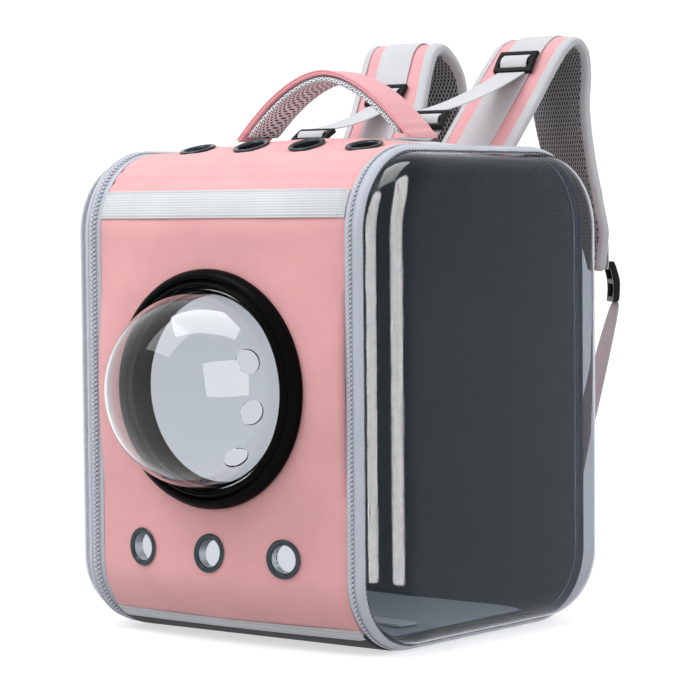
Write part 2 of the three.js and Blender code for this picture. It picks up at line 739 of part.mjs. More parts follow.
for (const [word, side] of [['left', -1], ['right', 1]]) {
  const face = strapThickness / 2;
  add(`strap_pad_${word}`, strapPiece(side, 0, strapSteps, -face, face, padShares), 'pink');
  const webLow = face + gap;
  const strapWeb = strapPiece(side, 1, strapSteps, webLow, webLow + webThickness, webShares);
  add(`strap_web_${word}`, strapWeb, 'web');

  // Upper ladder lock on the strap
  const pull = lifterPull[word];
  const lockAt = strapFrame(pull.lockAlong, side);
  const lockLevel = webLow + webThickness + gap + lifterLock.thickness / 2;
  const lockPlace = lockAt.centre.clone().addScaledVector(lockAt.out, lockLevel);
  const lockAcross = lockAt.wide.clone().multiplyScalar(side);
  const sideways = new THREE.Vector3(1, 0, 0);
  const lock = ladderLock(lifterWidth, lifterLock.length, lifterLock.thickness, lifterLock.bar);
  add(`lifter_lock_${word}`, setInto(lock, lockPlace, lockAcross, lockAt.out), 'plastic');

  // The tilted buckle over the top panel, and the webbing tab that rises under its lower corner
  const lifterX = side * (lifterSide - pull.shift);
  const tilt = THREE.MathUtils.degToRad(pull.tilt);
  const buckleAlong = new THREE.Vector3(0, Math.cos(tilt), Math.sin(tilt));
  const buckleOut = new THREE.Vector3(0, -Math.sin(tilt), Math.cos(tilt));
  const buckleHalf = lifterBuckle.thickness / 2;
  const buckleRest = 2 * gap + webThickness + buckleHalf;
  const restDistance = topDistance(lifterBuckle.y - lifterBuckle.overlap);
  const buckleSeat = onPanel(restDistance, lifterX - (side * lifterWidth) / 2, buckleRest)
    .setX(lifterX)
    .add(new THREE.Vector3(0, 0, pull.rise))
    .addScaledVector(buckleAlong, lifterBuckle.length / 2);
  const anchorStart = topDistance(lifterBuckle.y - lifterAnchorLength);
  const cornerReach = lifterAnchorLength - lifterBuckle.overlap + buckleHalf * Math.sin(tilt);
  const cornerRise = pull.rise + buckleHalf * (1 - Math.cos(tilt));
  const anchorRise = (distance) => cornerRise * ((distance - anchorStart) / cornerReach) ** 2;
  const anchorXs = [-lifterWidth / 2, 0, lifterWidth / 2].map((x) => lifterX + x);
  const anchorStops = [0, 0.25, 0.5, 0.75, 1].map((share) => anchorStart + share * lifterAnchorLength);
  const anchorLow = (distance, x) => panelOuter(distance, x) + gap + anchorRise(distance);
  const anchorHigh = (distance, x) => anchorLow(distance, x) + webThickness;
  add(`lifter_anchor_${word}`, bodySlab(anchorStops, anchorXs, anchorHigh, anchorLow), 'web');
  const buckle = ladderLock(lifterWidth, lifterBuckle.length, lifterBuckle.thickness, lifterBuckle.bar);
  add(`lifter_buckle_${word}`, setInto(buckle, buckleSeat, sideways, buckleOut), 'plastic');

  // Lifter webbing between them
  const lifterFrom = buckleSeat.clone().addScaledVector(buckleAlong, lifterBuckle.length / 2 + 2 * gap);
  const lockEdge = lockAt.out.clone().cross(lockAcross).normalize();
  if (lockEdge.z > 0) lockEdge.negate();
  const lifterTo = lockPlace.clone().addScaledVector(lockEdge, lifterLock.length / 2 + 2 * gap);
  const sag = lifterFrom.clone().lerp(lifterTo, 0.5).add(new THREE.Vector3(0, 0, -lifterSag));
  const lifterCurve = new THREE.QuadraticBezierCurve3(lifterFrom, sag, lifterTo);
  const lifter = (t) => {
    const tangent = lifterCurve.getTangent(t);
    const out = new THREE.Vector3(0, -tangent.z, tangent.y).normalize();
    return { centre: lifterCurve.getPoint(t), out, wide: sideways, half: lifterWidth / 2 };
  };
  add(`lifter_web_${word}`, strap(lifter, 6, -webThickness / 2, webThickness / 2, edgeShares), 'web');

  // Lower ladder lock on the strap's tip
  const tip = strapFrame(1, side);
  const lowerAcross = tip.wide.clone().multiplyScalar(side);
  const lowerLevel = webLow + webThickness + lowerLock.lift + lowerLock.thickness / 2;
  const down = tip.out.clone().cross(lowerAcross).normalize();
  if (down.z > 0) down.negate();
  const lowerPlace = tip.centre.clone().addScaledVector(tip.out, lowerLevel);
  lowerPlace.addScaledVector(down, lowerLock.drop);
  const lowerSlot = lowerLock.width - 2 * lowerLock.bar;
  const lower = ladderLock(lowerSlot, lowerLock.length, lowerLock.thickness, lowerLock.bar);
  add(`lower_lock_${word}`, setInto(lower, lowerPlace, lowerAcross, tip.out), 'plastic');

  // Webbing from the lower lock to the base corner
  const webFrom = lowerPlace.clone().addScaledVector(down, lowerLock.length / 2 + 2 * gap);
  const anchorDistance = loopLength - baseRun - frontDistance(lowerAnchor.height);
  const webTo = onPanel(anchorDistance, side * lowerAnchor.side, gap + webThickness / 2);
  const webCurve = new THREE.LineCurve3(webFrom, webTo);
  const lowerWeb = (t) => {
    const wide = lowerAcross.clone().lerp(sideways, t).normalize();
    const out = wide.clone().cross(webCurve.getTangent(t)).normalize();
    return { centre: webCurve.getPoint(t), out, wide, half: lowerWebWidth / 2 };
  };
  add(`lower_web_${word}`, strap(lowerWeb, 6, -webThickness / 2, webThickness / 2, edgeShares), 'web');
}

// Floor mat, with chamfered edges
const floorTop = panelThickness + gap + liningThickness;
const matShape = new THREE.Shape();
matShape.moveTo(-matWidth / 2, -matDepth / 2).lineTo(matWidth / 2, -matDepth / 2);
matShape.lineTo(matWidth / 2, matDepth / 2).lineTo(-matWidth / 2, matDepth / 2).closePath();
const mat = new THREE.ExtrudeGeometry(matShape, { depth: matThickness, bevelEnabled: false });
add('floor_mat', weld(mat.translate(0, 0, floorTop + gap)), 'mat');

// Safety leash: a webbing tab on the mat and a snap clip at its end
const matTop = floorTop + gap + matThickness;
const tabStart = panelHalf - 8 - leashTab.length;
const tab = new THREE.BoxGeometry(leashTab.length, leashTab.width, leashTab.thickness);
const leashY = -matDepth / 2 + leashTab.width;
const tabPlace = [tabStart + leashTab.length / 2, leashY, matTop + gap + leashTab.thickness / 2];
add('leash_tab', weld(tab.translate(...tabPlace)), 'web');
const clip = new THREE.BoxGeometry(leashClip.length, leashClip.width, leashClip.thickness);
const clipX = tabStart - gap - leashClip.length / 2;
add('leash_clip', weld(clip.translate(clipX, leashY, matTop + gap + leashClip.thickness / 2)), 'plastic');

export default model;
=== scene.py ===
"""Bubble pet carrier backpack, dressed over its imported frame.

The padded pink band, the zip-on clear trays, the dome, the handle and the straps are modelled here in
millimetres in the frame's own axes: X to the right as seen from the front, -Y to the front, +Z up.
"""
import logging
import math
from dataclasses import dataclass
from enum import Enum
from typing import Callable

import bmesh
import bpy
import numpy as np
from mathutils import Matrix, Vector


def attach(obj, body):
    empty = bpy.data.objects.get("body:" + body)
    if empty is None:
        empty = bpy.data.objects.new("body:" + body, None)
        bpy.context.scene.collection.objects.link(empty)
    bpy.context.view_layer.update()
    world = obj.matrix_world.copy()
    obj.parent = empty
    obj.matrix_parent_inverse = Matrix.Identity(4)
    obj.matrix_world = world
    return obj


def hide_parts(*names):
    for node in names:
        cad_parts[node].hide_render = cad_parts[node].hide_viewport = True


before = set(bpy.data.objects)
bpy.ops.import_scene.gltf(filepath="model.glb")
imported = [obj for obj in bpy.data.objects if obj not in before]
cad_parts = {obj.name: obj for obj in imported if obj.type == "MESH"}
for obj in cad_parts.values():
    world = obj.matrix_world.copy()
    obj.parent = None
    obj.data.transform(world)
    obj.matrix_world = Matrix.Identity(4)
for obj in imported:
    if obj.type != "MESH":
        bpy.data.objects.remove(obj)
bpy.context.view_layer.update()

MM = 0.001
TURN = 2.0 * math.pi
Array = np.ndarray
Place = Callable[[Array, Array, Array], Array]
log = logging.getLogger("carrier")


class Side(Enum):
    """The two sides of the carrier, as seen from the front, with the sign of X."""

    LEFT = -1
    RIGHT = 1

    @property
    def word(self) -> str:
        """The side's name as it stands at the end of a node's name."""
        return self.name.lower()


# Modelling


def deselect() -> None:
    """Leaves object mode with nothing selected."""
    if bpy.context.object is not None and bpy.context.object.mode != "OBJECT":
        bpy.ops.object.mode_set(mode="OBJECT")
    bpy.ops.object.select_all(action="DESELECT")


def activate(piece: bpy.types.Object) -> None:
    """Makes one piece the only selected and the active one.

    Args:
        piece: The mesh.
    """
    deselect()
    piece.select_set(True)
    bpy.context.view_layer.objects.active = piece


def edit(piece: bpy.types.Object, mode: str = "FACE", whole: bool = True) -> None:
    """Opens a piece in edit mode.

    Args:
        piece: The mesh to edit.
        mode: The kind of element to select, VERT, EDGE or FACE.
        whole: True selects all of it, False nothing.
    """
    activate(piece)
    bpy.ops.object.mode_set(mode="EDIT")
    bpy.ops.mesh.select_mode(type=mode)
    bpy.ops.mesh.select_all(action="SELECT" if whole else "DESELECT")


def named(name: str) -> bpy.types.Object:
    """Names the primitive that was just added.

    Args:
        name: The piece's name.

    Returns:
        The new object, in object mode.
    """
    piece = bpy.context.object
    piece.name = name
    piece.data.name = name
    return piece


def points_of(piece: bpy.types.Object) -> Array:
    """The vertices of a piece as an array of rows.

    Args:
        piece: The mesh.

    Returns:
        One row for each vertex.
    """
    flat = np.empty(len(piece.data.vertices) * 3)
    piece.data.vertices.foreach_get("co", flat)
    return flat.reshape(-1, 3)


def set_points(piece: bpy.types.Object, points: Array) -> None:
    """Moves the vertices of a piece to the rows of an array.

    Args:
        piece: The mesh.
        points: One row for each vertex.
    """
    piece.data.vertices.foreach_set("co", np.asarray(points, dtype=float).ravel())
    piece.data.update()


def wrap(piece: bpy.types.Object, place: Place) -> None:
    """Lays a piece that was modelled flat over a surface, and turns millimetres into metres.

    Args:
        piece: A mesh whose x, y and z are across, along and level.
        place: Gives the points for arrays of across, along and level.
    """
    flat = points_of(piece)
    set_points(piece, place(flat[:, 0], flat[:, 1], flat[:, 2]) * MM)


def flat_grid(
    name: str, low: tuple[float, float], high: tuple[float, float], step: float | tuple[float, float]
) -> bpy.types.Object:
    """A flat rectangle of even cells, with its UV map in metres.

    Args:
        name: The piece's name.
        low: Its lowest x and y, in millimetres.
        high: Its highest x and y, in millimetres.
        step: The length of a cell's sides, one or both.

    Returns:
        The grid.
    """
    size = (high[0] - low[0], high[1] - low[1])
    steps = step if isinstance(step, tuple) else (step, step)
    cells = [max(1, round(length / side)) for length, side in zip(size, steps)]
    deselect()
    bpy.ops.mesh.primitive_grid_add(x_subdivisions=cells[0], y_subdivisions=cells[1], size=2.0)
    piece = named(name)
    flat = points_of(piece)
    flat[:, 0] = low[0] + (flat[:, 0] + 1.0) * size[0] / 2
    flat[:, 1] = low[1] + (flat[:, 1] + 1.0) * size[1] / 2
    set_points(piece, flat)
    map_flat(piece)
    return piece


def map_flat(piece: bpy.types.Object, turned: bool = False) -> None:
    """Writes a piece's x and y, in metres, into its UV map while it is still flat.

    Args:
        piece: The flat piece.
        turned: True swaps them, for a weave that runs along x.
    """
    if not piece.data.uv_layers:
        piece.data.uv_layers.new(name="UVMap")
    flat = points_of(piece)[:, [1, 0] if turned else [0, 1]] * MM
    corners = np.empty(len(piece.data.loops), dtype=int)
    piece.data.loops.foreach_get("vertex_index", corners)
    piece.data.uv_layers[0].data.foreach_set("uv", flat[corners].ravel())


def apply(piece: bpy.types.Object, kind: str, **settings: object) -> None:
    """Adds a modifier with its settings and applies it at once.

    Args:
        piece: The mesh.
        kind: The modifier's type.
        settings: Its settings.
    """
    activate(piece)
    modifier = piece.modifiers.new(kind.title(), kind)
    for setting, value in settings.items():
        setattr(modifier, setting, value)
    bpy.ops.object.modifier_apply(modifier=modifier.name)


def merge(piece: bpy.types.Object, within: float = 0.00002, outward: bool = False) -> None:
    """Merges doubled vertices, and turns the faces outward if asked.

    Args:
        piece: The mesh.
        within: The distance that counts as doubled.
        outward: True turns the faces outward.
    """
    edit(piece, "VERT")
    bpy.ops.mesh.remove_doubles(threshold=within)
    if outward:
        bpy.ops.mesh.normals_make_consistent(inside=False)
    bpy.ops.object.mode_set(mode="OBJECT")


def flip(piece: bpy.types.Object) -> None:
    """Turns every face of a piece over.

    Args:
        piece: The mesh.
    """
    edit(piece)
    bpy.ops.mesh.flip_normals()
    bpy.ops.object.mode_set(mode="OBJECT")


def smooth(piece: bpy.types.Object, angle: float = 40.0) -> None:
    """Shades a piece smooth except over edges that are sharper than an angle in degrees.

    Args:
        piece: The mesh.
        angle: The sharpest angle that is shaded smooth.
    """
    activate(piece)
    bpy.ops.object.shade_smooth_by_angle(angle=math.radians(angle))


def delete_faces(piece: bpy.types.Object, chosen: Array) -> None:
    """Deletes some faces of a piece.

    Args:
        piece: The mesh.
        chosen: True or False for each face.
    """
    edit(piece, whole=False)
    bpy.ops.object.mode_set(mode="OBJECT")
    piece.data.polygons.foreach_set("select", chosen)
    bpy.ops.object.mode_set(mode="EDIT")
    bpy.ops.mesh.delete(type="FACE")
    bpy.ops.object.mode_set(mode="OBJECT")


def cut_holes(piece: bpy.types.Object, holes: list[tuple[float, float, float]]) -> None:
    """Opens round holes in a flat grid and draws their edges onto true circles.

    Args:
        piece: The flat grid.
        holes: The x, y and radius of each hole.
    """
    mesh = piece.data
    for x, y, radius in holes:
        centres = np.empty(len(mesh.polygons) * 3)
        mesh.polygons.foreach_get("center", centres)
        centres = centres.reshape(-1, 3)
        delete_faces(piece, np.hypot(centres[:, 0] - x, centres[:, 1] - y) < radius)
    shell = bmesh.new()
    shell.from_mesh(mesh)
    for vertex in shell.verts:
        if not vertex.is_boundary:
            continue
        for x, y, radius in holes:
            reach = math.hypot(vertex.co.x - x, vertex.co.y - y)
            if 0.3 * radius < reach < radius + 6.0:
                vertex.co.x = x + (vertex.co.x - x) * radius / reach
                vertex.co.y = y + (vertex.co.y - y) * radius / reach
    shell.to_mesh(mesh)
    shell.free()


def spun(name: str, profile: list[tuple[float, float]], steps: int) -> bpy.types.Object:
    """Turns a closed profile about the Z axis.

    Args:
        name: The piece's name.
        profile: Radius and height of each corner, in millimetres.
        steps: How many steps a full turn has.

    Returns:
        The turned ring, still in millimetres and at the origin.
    """
    deselect()
    bpy.ops.mesh.primitive_circle_add(vertices=len(profile), radius=1.0)
    piece = named(name)
    set_points(piece, np.array([(radius, 0.0, height) for radius, height in profile]))
    edit(piece, "VERT")
    bpy.ops.mesh.spin(steps=steps, angle=TURN, center=(0, 0, 0), axis=(0, 0, 1))
    bpy.ops.object.mode_set(mode="OBJECT")
    merge(piece, 0.01, outward=True)
    return piece


def settle(piece: bpy.types.Object, origin: Vector, across: Vector, out: Vector) -> None:
    """Sets a piece that was modelled flat at the origin into its place, in metres.

    Args:
        piece: The piece, in millimetres.
        origin: Where its origin goes, in millimetres.
        across: The direction of its x axis.
        out: The direction of its z axis.
    """
    x = across.normalized()
    z = out.normalized()
    y = z.cross(x).normalized()
    turn = Matrix((x, y, z)).transposed().to_4x4()
    piece.data.transform(Matrix.Scale(MM, 4) @ Matrix.Translation(origin) @ turn)
    piece.data.update()


def copied(piece: bpy.types.Object, name: str) -> bpy.types.Object:
    """A copy of a piece with its own mesh.

    Args:
        piece: The mesh.
        name: The new piece's name.

    Returns:
        The copy.
    """
    twin = piece.copy()
    twin.data = piece.data.copy()
    twin.name = name
    twin.data.name = name
    bpy.context.scene.collection.objects.link(twin)
    return twin


def joined(name: str, pieces: list[bpy.types.Object]) -> bpy.types.Object:
    """Joins several meshes into the first one and names it.

    Args:
        name: The whole's name.
        pieces: The meshes.

    Returns:
        The whole.
    """
    activate(pieces[0])
    for piece in pieces[1:]:
        piece.select_set(True)
    bpy.ops.object.join()
    return named(name)


# Finishes


def linear(shade: str) -> tuple[float, float, float, float]:
    """Turns an sRGB hex value such as #e8a5aa into a linear colour.

    Args:
        shade: The hex value.

    Returns:
        Red, green, blue and alpha.
    """
    parts = [int(shade[i : i + 2], 16) / 255 for i in (1, 3, 5)]
    values = [c / 12.92 if c <= 0.04045 else ((c + 0.055) / 1.055) ** 2.4 for c in parts]
    return (values[0], values[1], values[2], 1.0)


Socket = bpy.types.NodeSocket
Tree = bpy.types.NodeTree


def add_node(tree: Tree, kind: str, inputs: dict | None = None, **settings: object) -> bpy.types.Node:
    """Adds a shader node.

    Args:
        tree: The material's node tree.
        kind: The node's type, without its ShaderNode prefix.
        inputs: For each input's name or number, a value or the socket to link.
        settings: The node's own settings.

    Returns:
        The new node.
    """
    node = tree.nodes.new("ShaderNode" + kind)
    for setting, value in settings.items():
        setattr(node, setting, value)
    for key, value in (inputs or {}).items():
        if isinstance(value, bpy.types.NodeSocket):
            tree.links.new(value, node.inputs[key])
        else:
            node.inputs[key].default_value = value
    return node


@dataclass(frozen=True)
class Finish:
    """A surface with one colour that varies a little, a sheen and a fine relief."""

    name: str
    colour: str
    roughness: float = 0.5
    metallic: float = 0.0
    sheen: float = 0.0
    mottle: float = 0.06
    mottle_mm: float = 40.0
    relief: float = 0.0
    grain_mm: float = 0.8
    shine: float = 0.5
    glow: float = 0.0

    def material(self) -> bpy.types.Material:
        """The finish as a material, made once.

        Returns:
            The material.
        """
        known = bpy.data.materials.get(self.name)
        if known is not None:
            return known
        material = bpy.data.materials.new(self.name)
        material.use_nodes = True
        tree = material.node_tree
        surface = tree.nodes["Principled BSDF"]
        surface.inputs["Roughness"].default_value = self.roughness
        surface.inputs["Metallic"].default_value = self.metallic
        surface.inputs["Sheen Weight"].default_value = self.sheen
        surface.inputs["Sheen Roughness"].default_value = 0.45
        surface.inputs["Specular IOR Level"].default_value = self.shine
        surface.inputs["Emission Color"].default_value = (1.0, 1.0, 1.0, 1.0)
        surface.inputs["Emission Strength"].default_value = self.glow
        self.dress(tree, surface)
        return material

    def dress(self, tree: Tree, surface: bpy.types.Node) -> None:
        """Links the colour and the relief of a moulded surface.

        Args:
            tree: The material's node tree.
            surface: Its shader.
        """
        place = add_node(tree, "TexCoord").outputs["Object"]
        colour = self.mottled(tree, place, linear(self.colour))
        tree.links.new(colour, surface.inputs["Base Color"])
        if self.relief > 0:
            self.bumped(tree, surface, self.noise(tree, place, self.grain_mm, 1.0))

    def noise(self, tree: Tree, place: Socket, size_mm: float, detail: float) -> Socket:
        """A noise whose patches have a size in millimetres.

        Args:
            tree: The material's node tree.
            place: The coordinates, in metres.
            size_mm: The size of a patch.
            detail: How many finer layers it has.

        Returns:
            The socket of the noise, from 0 to 1.
        """
        settings = {"Vector": place, "Scale": 1.0 / (size_mm * MM), "Detail": detail}
        return add_node(tree, "TexNoise", settings).outputs[0]

    def between(self, tree: Tree, value: Socket, span: tuple[float, float], dark: float) -> Socket:
        """A shade that rises to 1 while a value rises from one end of a span to the other.

        Args:
            tree: The material's node tree.
            value: The socket of the value.
            span: The value's low and high end.
            dark: How much the shade is under 1 at the low end.

        Returns:
            The socket of the shade.
        """
        ends = {0: value, 1: span[0], 2: span[1], 3: 1.0 - dark, 4: 1.0}
        return add_node(tree, "MapRange", ends).outputs[0]

    def shaded(self, tree: Tree, colour: object, shade: Socket) -> Socket:
        """Multiplies a colour by a shade.

        Args:
            tree: The material's node tree.
            colour: A colour or the socket that gives it.
            shade: The socket of the shade.

        Returns:
            The socket of the darker colour.
        """
        grey = add_node(tree, "CombineColor", {0: shade, 1: shade, 2: shade}).outputs[0]
        factors = {0: 1.0, 6: colour, 7: grey}
        return add_node(tree, "Mix", factors, data_type="RGBA", blend_type="MULTIPLY").outputs[2]

    def mottled(self, tree: Tree, place: Socket, colour: object) -> Socket:
        """Darkens a colour in soft patches.

        Args:
            tree: The material's node tree.
            place: The coordinates, in metres.
            colour: A colour or the socket that gives it.

        Returns:
            The socket of the varied colour.
        """
        cloud = self.noise(tree, place, self.mottle_mm, 3.0)
        return self.shaded(tree, colour, self.between(tree, cloud, (0.35, 0.65), self.mottle))

    def bumped(self, tree: Tree, surface: bpy.types.Node, height: Socket) -> None:
        """Gives the surface a relief whose depth is in millimetres.

        Args:
            tree: The material's node tree.
            surface: Its shader.
            height: The socket of the height.
        """
        bump = add_node(tree, "Bump", {"Height": height, "Distance": self.relief * MM, "Strength": 1.0})
        tree.links.new(bump.outputs[0], surface.inputs["Normal"])

    def wave(self, tree: Tree, along: Socket, pitch_mm: float, shift: object = 0.0) -> Socket:
        """A sine along a coordinate in metres.

        Args:
            tree: The material's node tree.
            along: The coordinate.
            pitch_mm: The length of one wave.
            shift: A phase in radians, or the socket that gives it.

        Returns:
            The socket of the sine, from -1 to 1.
        """
        scale = TURN / (pitch_mm * MM)
        turned = add_node(tree, "Math", {0: along, 1: scale, 2: shift}, operation="MULTIPLY_ADD")
        return add_node(tree, "Math", {0: turned.outputs[0]}, operation="SINE").outputs[0]


@dataclass(frozen=True)
class WovenCloth(Finish):
    """Plain-woven polyester: warp and weft cross in a fine checker, with a soft sheen."""

    thread_mm: float = 1.4
    # How deep the painted shade in the hollows between the threads is.
    thread_shade: float = 0.07

    def dress(self, tree: Tree, surface: bpy.types.Node) -> None:
        """Links the weave, whose hollows between the threads are darkened as painted shade.

        Args:
            tree: The material's node tree.
            surface: Its shader.
        """
        place = add_node(tree, "TexCoord").outputs["UV"]
        parts = add_node(tree, "SeparateXYZ", {0: place})
        warp = self.wave(tree, parts.outputs[0], self.thread_mm)
        weft = self.wave(tree, parts.outputs[1], self.thread_mm)
        weave = add_node(tree, "Math", {0: warp, 1: weft}, operation="MULTIPLY").outputs[0]
        slub = self.noise(tree, place, 2.5 * self.thread_mm, 2.0)
        height = add_node(tree, "Math", {0: weave, 1: slub}, operation="ADD").outputs[0]
        shade = self.between(tree, height, (-0.6, 1.4), self.thread_shade)
        colour = self.shaded(tree, linear(self.colour), shade)
        tree.links.new(self.mottled(tree, place, colour), surface.inputs["Base Color"])
        self.bumped(tree, surface, height)


@dataclass(frozen=True)
class RibbedWebbing(Finish):
    """Polyester webbing: ribs run along it and each rib is crossed by its weft."""

    rib_mm: float = 2.6
    weft_mm: float = 3.2
    # How deep the painted shade in the grooves between the ribs is.
    rib_shade: float = 0.16

    def dress(self, tree: Tree, surface: bpy.types.Node) -> None:
        """Links ribs along the second UV direction, crossed in brick order by the weft, and painted shade in
        the grooves.

        Args:
            tree: The material's node tree.
            surface: Its shader.
        """
        place = add_node(tree, "TexCoord").outputs["UV"]
        parts = add_node(tree, "SeparateXYZ", {0: place})
        rib = self.wave(tree, parts.outputs[0], self.rib_mm)
        order = add_node(tree, "Math", {0: rib}, operation="SIGN").outputs[0]
        phase = add_node(tree, "Math", {0: order, 1: math.pi / 2}, operation="MULTIPLY").outputs[0]
        weft = self.wave(tree, parts.outputs[1], self.weft_mm, phase)
        back = add_node(tree, "Math", {0: rib}, operation="ABSOLUTE").outputs[0]
        height = add_node(tree, "Math", {0: weft, 1: 0.15, 2: back}, operation="MULTIPLY_ADD").outputs[0]
        shade = self.between(tree, height, (0.0, 0.9), self.rib_shade)
        colour = self.shaded(tree, linear(self.colour), shade)
        tree.links.new(self.mottled(tree, place, colour), surface.inputs["Base Color"])
        self.bumped(tree, surface, height)


@dataclass(frozen=True)
class SpacerMesh(Finish):
    """Knitted spacer mesh: long six-sided holes in staggered rows show the dark ground behind, deepened by
    painted shade.
    """

    # The holes' colour: the ground behind, darkened as painted shade for their depth.
    hole_shade: str = "#2b2e31"
    across_mm: float = 3.6
    along_mm: float = 4.8
    hole_share: float = 0.3

    def dress(self, tree: Tree, surface: bpy.types.Node) -> None:
        """Links two sets of oval holes, each set halfway between the other's.

        Args:
            tree: The material's node tree.
            surface: Its shader.
        """
        place = add_node(tree, "TexCoord").outputs["UV"]
        cell = (1000.0 / self.across_mm, 1000.0 / (2 * self.along_mm) * 1.2, 1.0)
        scaled = add_node(tree, "VectorMath", {0: place, 1: cell}, operation="MULTIPLY").outputs[0]
        reaches = []
        for shift in (0.0, 0.5):
            at = scaled
            steps = (
                ("ADD", (shift, shift, 0.0)),
                ("FRACTION", (0.0, 0.0, 0.0)),
                ("SUBTRACT", (0.5, 0.5, 0.0)),
                ("MULTIPLY", (1.0, 1.25, 0.0)),
            )
            for operation, amount in steps:
                at = add_node(tree, "VectorMath", {0: at, 1: amount}, operation=operation).outputs[0]
            reaches.append(add_node(tree, "VectorMath", {0: at}, operation="LENGTH").outputs["Value"])
        reach = add_node(tree, "Math", {0: reaches[0], 1: reaches[1]}, operation="MINIMUM").outputs[0]
        yarn = self.between(tree, reach, (self.hole_share - 0.05, self.hole_share + 0.05), 1.0)
        # The holes take the ground's colour, darkened as painted shade for their depth.
        colours = {0: yarn, 6: linear(self.hole_shade), 7: linear(self.colour)}
        mix = add_node(tree, "Mix", colours, data_type="RGBA")
        tree.links.new(self.mottled(tree, place, mix.outputs[2]), surface.inputs["Base Color"])
        self.bumped(tree, surface, yarn)


@dataclass(frozen=True)
class ClearSheet(Finish):
    """Clear thermoformed PVC: a thin wall that shows what is behind it and mirrors the lights."""

    ior: float = 1.35

    def dress(self, tree: Tree, surface: bpy.types.Node) -> None:
        """Sets the sheet's transmission on the shader's own sockets.

        Args:
            tree: The material's node tree.
            surface: Its shader.
        """
        surface.inputs["Base Color"].default_value = linear(self.colour)
        surface.inputs["Transmission Weight"].default_value = 1.0
        surface.inputs["IOR"].default_value = self.ior


# Pink polyester cloth: a matt, slightly cloudy pink whose weave shows only close by.
PINK = WovenCloth("Pink woven polyester", "#e6a6a9", 0.82, sheen=0.15, relief=0.08, mottle=0.06)
STRAP_PINK = WovenCloth("Pink strap polyester", "#e0a4a9", 0.82, sheen=0.15, relief=0.05, mottle=0.04)
HANDLE_PINK = WovenCloth("Pink polyester handle cover", "#e0a1a7", 0.8, sheen=0.15, relief=0.05, mottle=0.05)
# Dark lining: an even charcoal without texture, so that the clear sides read as smoked glass over it.
CHARCOAL = WovenCloth("Charcoal polyester lining", "#41494c", 0.9, thread_shade=0.0, shine=0.1)
# Coated cloth under the carrier: nearly black, with a coarse weave.
BASE_CLOTH = WovenCloth("Charcoal coated oxford", "#33373a", 0.85, relief=0.08, thread_mm=1.8)
# The mat's plush: a soft mid grey that catches light at its edges.
MAT_CLOTH = WovenCloth("Grey plush mat cover", "#8c9498", 0.95, sheen=0.2, relief=0.2, thread_mm=3.0)
# Zip tape and bindings: cool greys that draw a clear line between the pink and the clear sheet.
TAPE = WovenCloth("Grey woven zip tape", "#bbc0cd", 0.8, relief=0.08, thread_mm=1.2)
BINDING = WovenCloth("Grey polyester binding", "#babfcb", 0.7, sheen=0.15, relief=0.05, thread_mm=1.2)
STRAP_BINDING = WovenCloth("Light polyester binding", "#c0c3c7", 0.7, sheen=0.1, relief=0.05, thread_mm=1.2)
# Nylon teeth: smoother than the tape, so that each loop has a small highlight.
COIL = Finish("Nylon zip coil", "#bcc0c9", 0.38, relief=0.0)
# Webbing: off-white, with ribs along it whose grooves hold painted shade, so that they show as fine lines on
# the front.
WEBBING = RibbedWebbing(
    "Light grey polyester webbing", "#c9ccd0", 0.75, sheen=0.1, relief=0.2, rib_mm=4.4, rib_shade=0.2
)
STRAP_WEBBING = RibbedWebbing(
    "Light grey strap webbing", "#c6c8cc", 0.78, relief=0.1, rib_mm=3.0, rib_shade=0.12
)
# Spacer mesh: rows of holes over a dark ground with painted shade in them, fine on the straps and more open
# on the handle.
DARK_MESH = SpacerMesh("Grey spacer mesh", "#9ca2a6", 0.9, relief=0.5)
# The handle's light grey mesh, holes included, is painted lighter and bluer: painted light that lifts the
# shade and the pink bounce under the handle.
SHADE_LIFTED_MESH = SpacerMesh(
    "Light spacer mesh lifted against shade",
    "#e0eef1",
    0.9,
    relief=0.4,
    hole_shade="#55565c",
    across_mm=5.2,
    along_mm=4.0,
    hole_share=0.26,
)
# Sewing thread: a dull grey on the webbing and nearly black on the binding.
THREAD = Finish("Grey sewing thread", "#9da2ab", 0.7)
DARK_THREAD = Finish("Dark sewing thread", "#262a33", 0.7)
# Clear sheets: the PVC of the trays is faintly grey and mirrors little, the dome's PET is clearer.
CLEAR = ClearSheet("Clear PVC sheet", "#bcc0c6", 0.005, ior=1.16)
BUBBLE = ClearSheet("Clear PET dome", "#e4e6e7", 0.005, ior=1.3)
# Black mouldings: deep and glossy round the dome, satin on the strap hardware.
GLOSS_BLACK = Finish("Gloss black ABS", "#080707", 0.22, mottle=0.0, shine=0.03)
SATIN_BLACK = Finish("Satin black acetal", "#121315", 0.4, relief=0.02, mottle=0.1, shine=0.15)
# Plated eyelets: dark gunmetal rims; the front ones' bores are painted pale, a painted highlight for the
# light seen through them.
PAINTED_LIT_BORE = Finish("Plated bore painted lit", "#c9cdd2", 0.35, metallic=0.6)
GUNMETAL = Finish("Gunmetal plated steel", "#3a4246", 0.22, metallic=1.0, mottle=0.15, mottle_mm=9.0)


def dressed(piece: bpy.types.Object, finish: Finish, slot: str, *nodes: str) -> bpy.types.Object:
    """Gives a piece its material and its body, and hides the CAD nodes that it stands for.

    Args:
        piece: The finished mesh.
        finish: Its surface.
        slot: Not used.
        nodes: The CAD nodes that it replaces.

    Returns:
        The piece.
    """
    piece.data.materials.clear()
    piece.data.materials.append(finish.material())
    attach(piece, "root")
    if nodes:
        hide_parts(*nodes)
    log.info("%s: %d faces", piece.name, len(piece.data.polygons))
    return piece


# Forms that the pieces lie on


def ease(low: float, high: float, value: Array) -> Array:
    """Rises smoothly from 0 at low to 1 at high.

    Args:
        low: Where it starts.
        high: Where it ends.
        value: The values.

    Returns:
        Values from 0 to 1.
    """
    share = np.clip((value - low) / (high - low), 0.0, 1.0)
    return share * share * (3.0 - 2.0 * share)


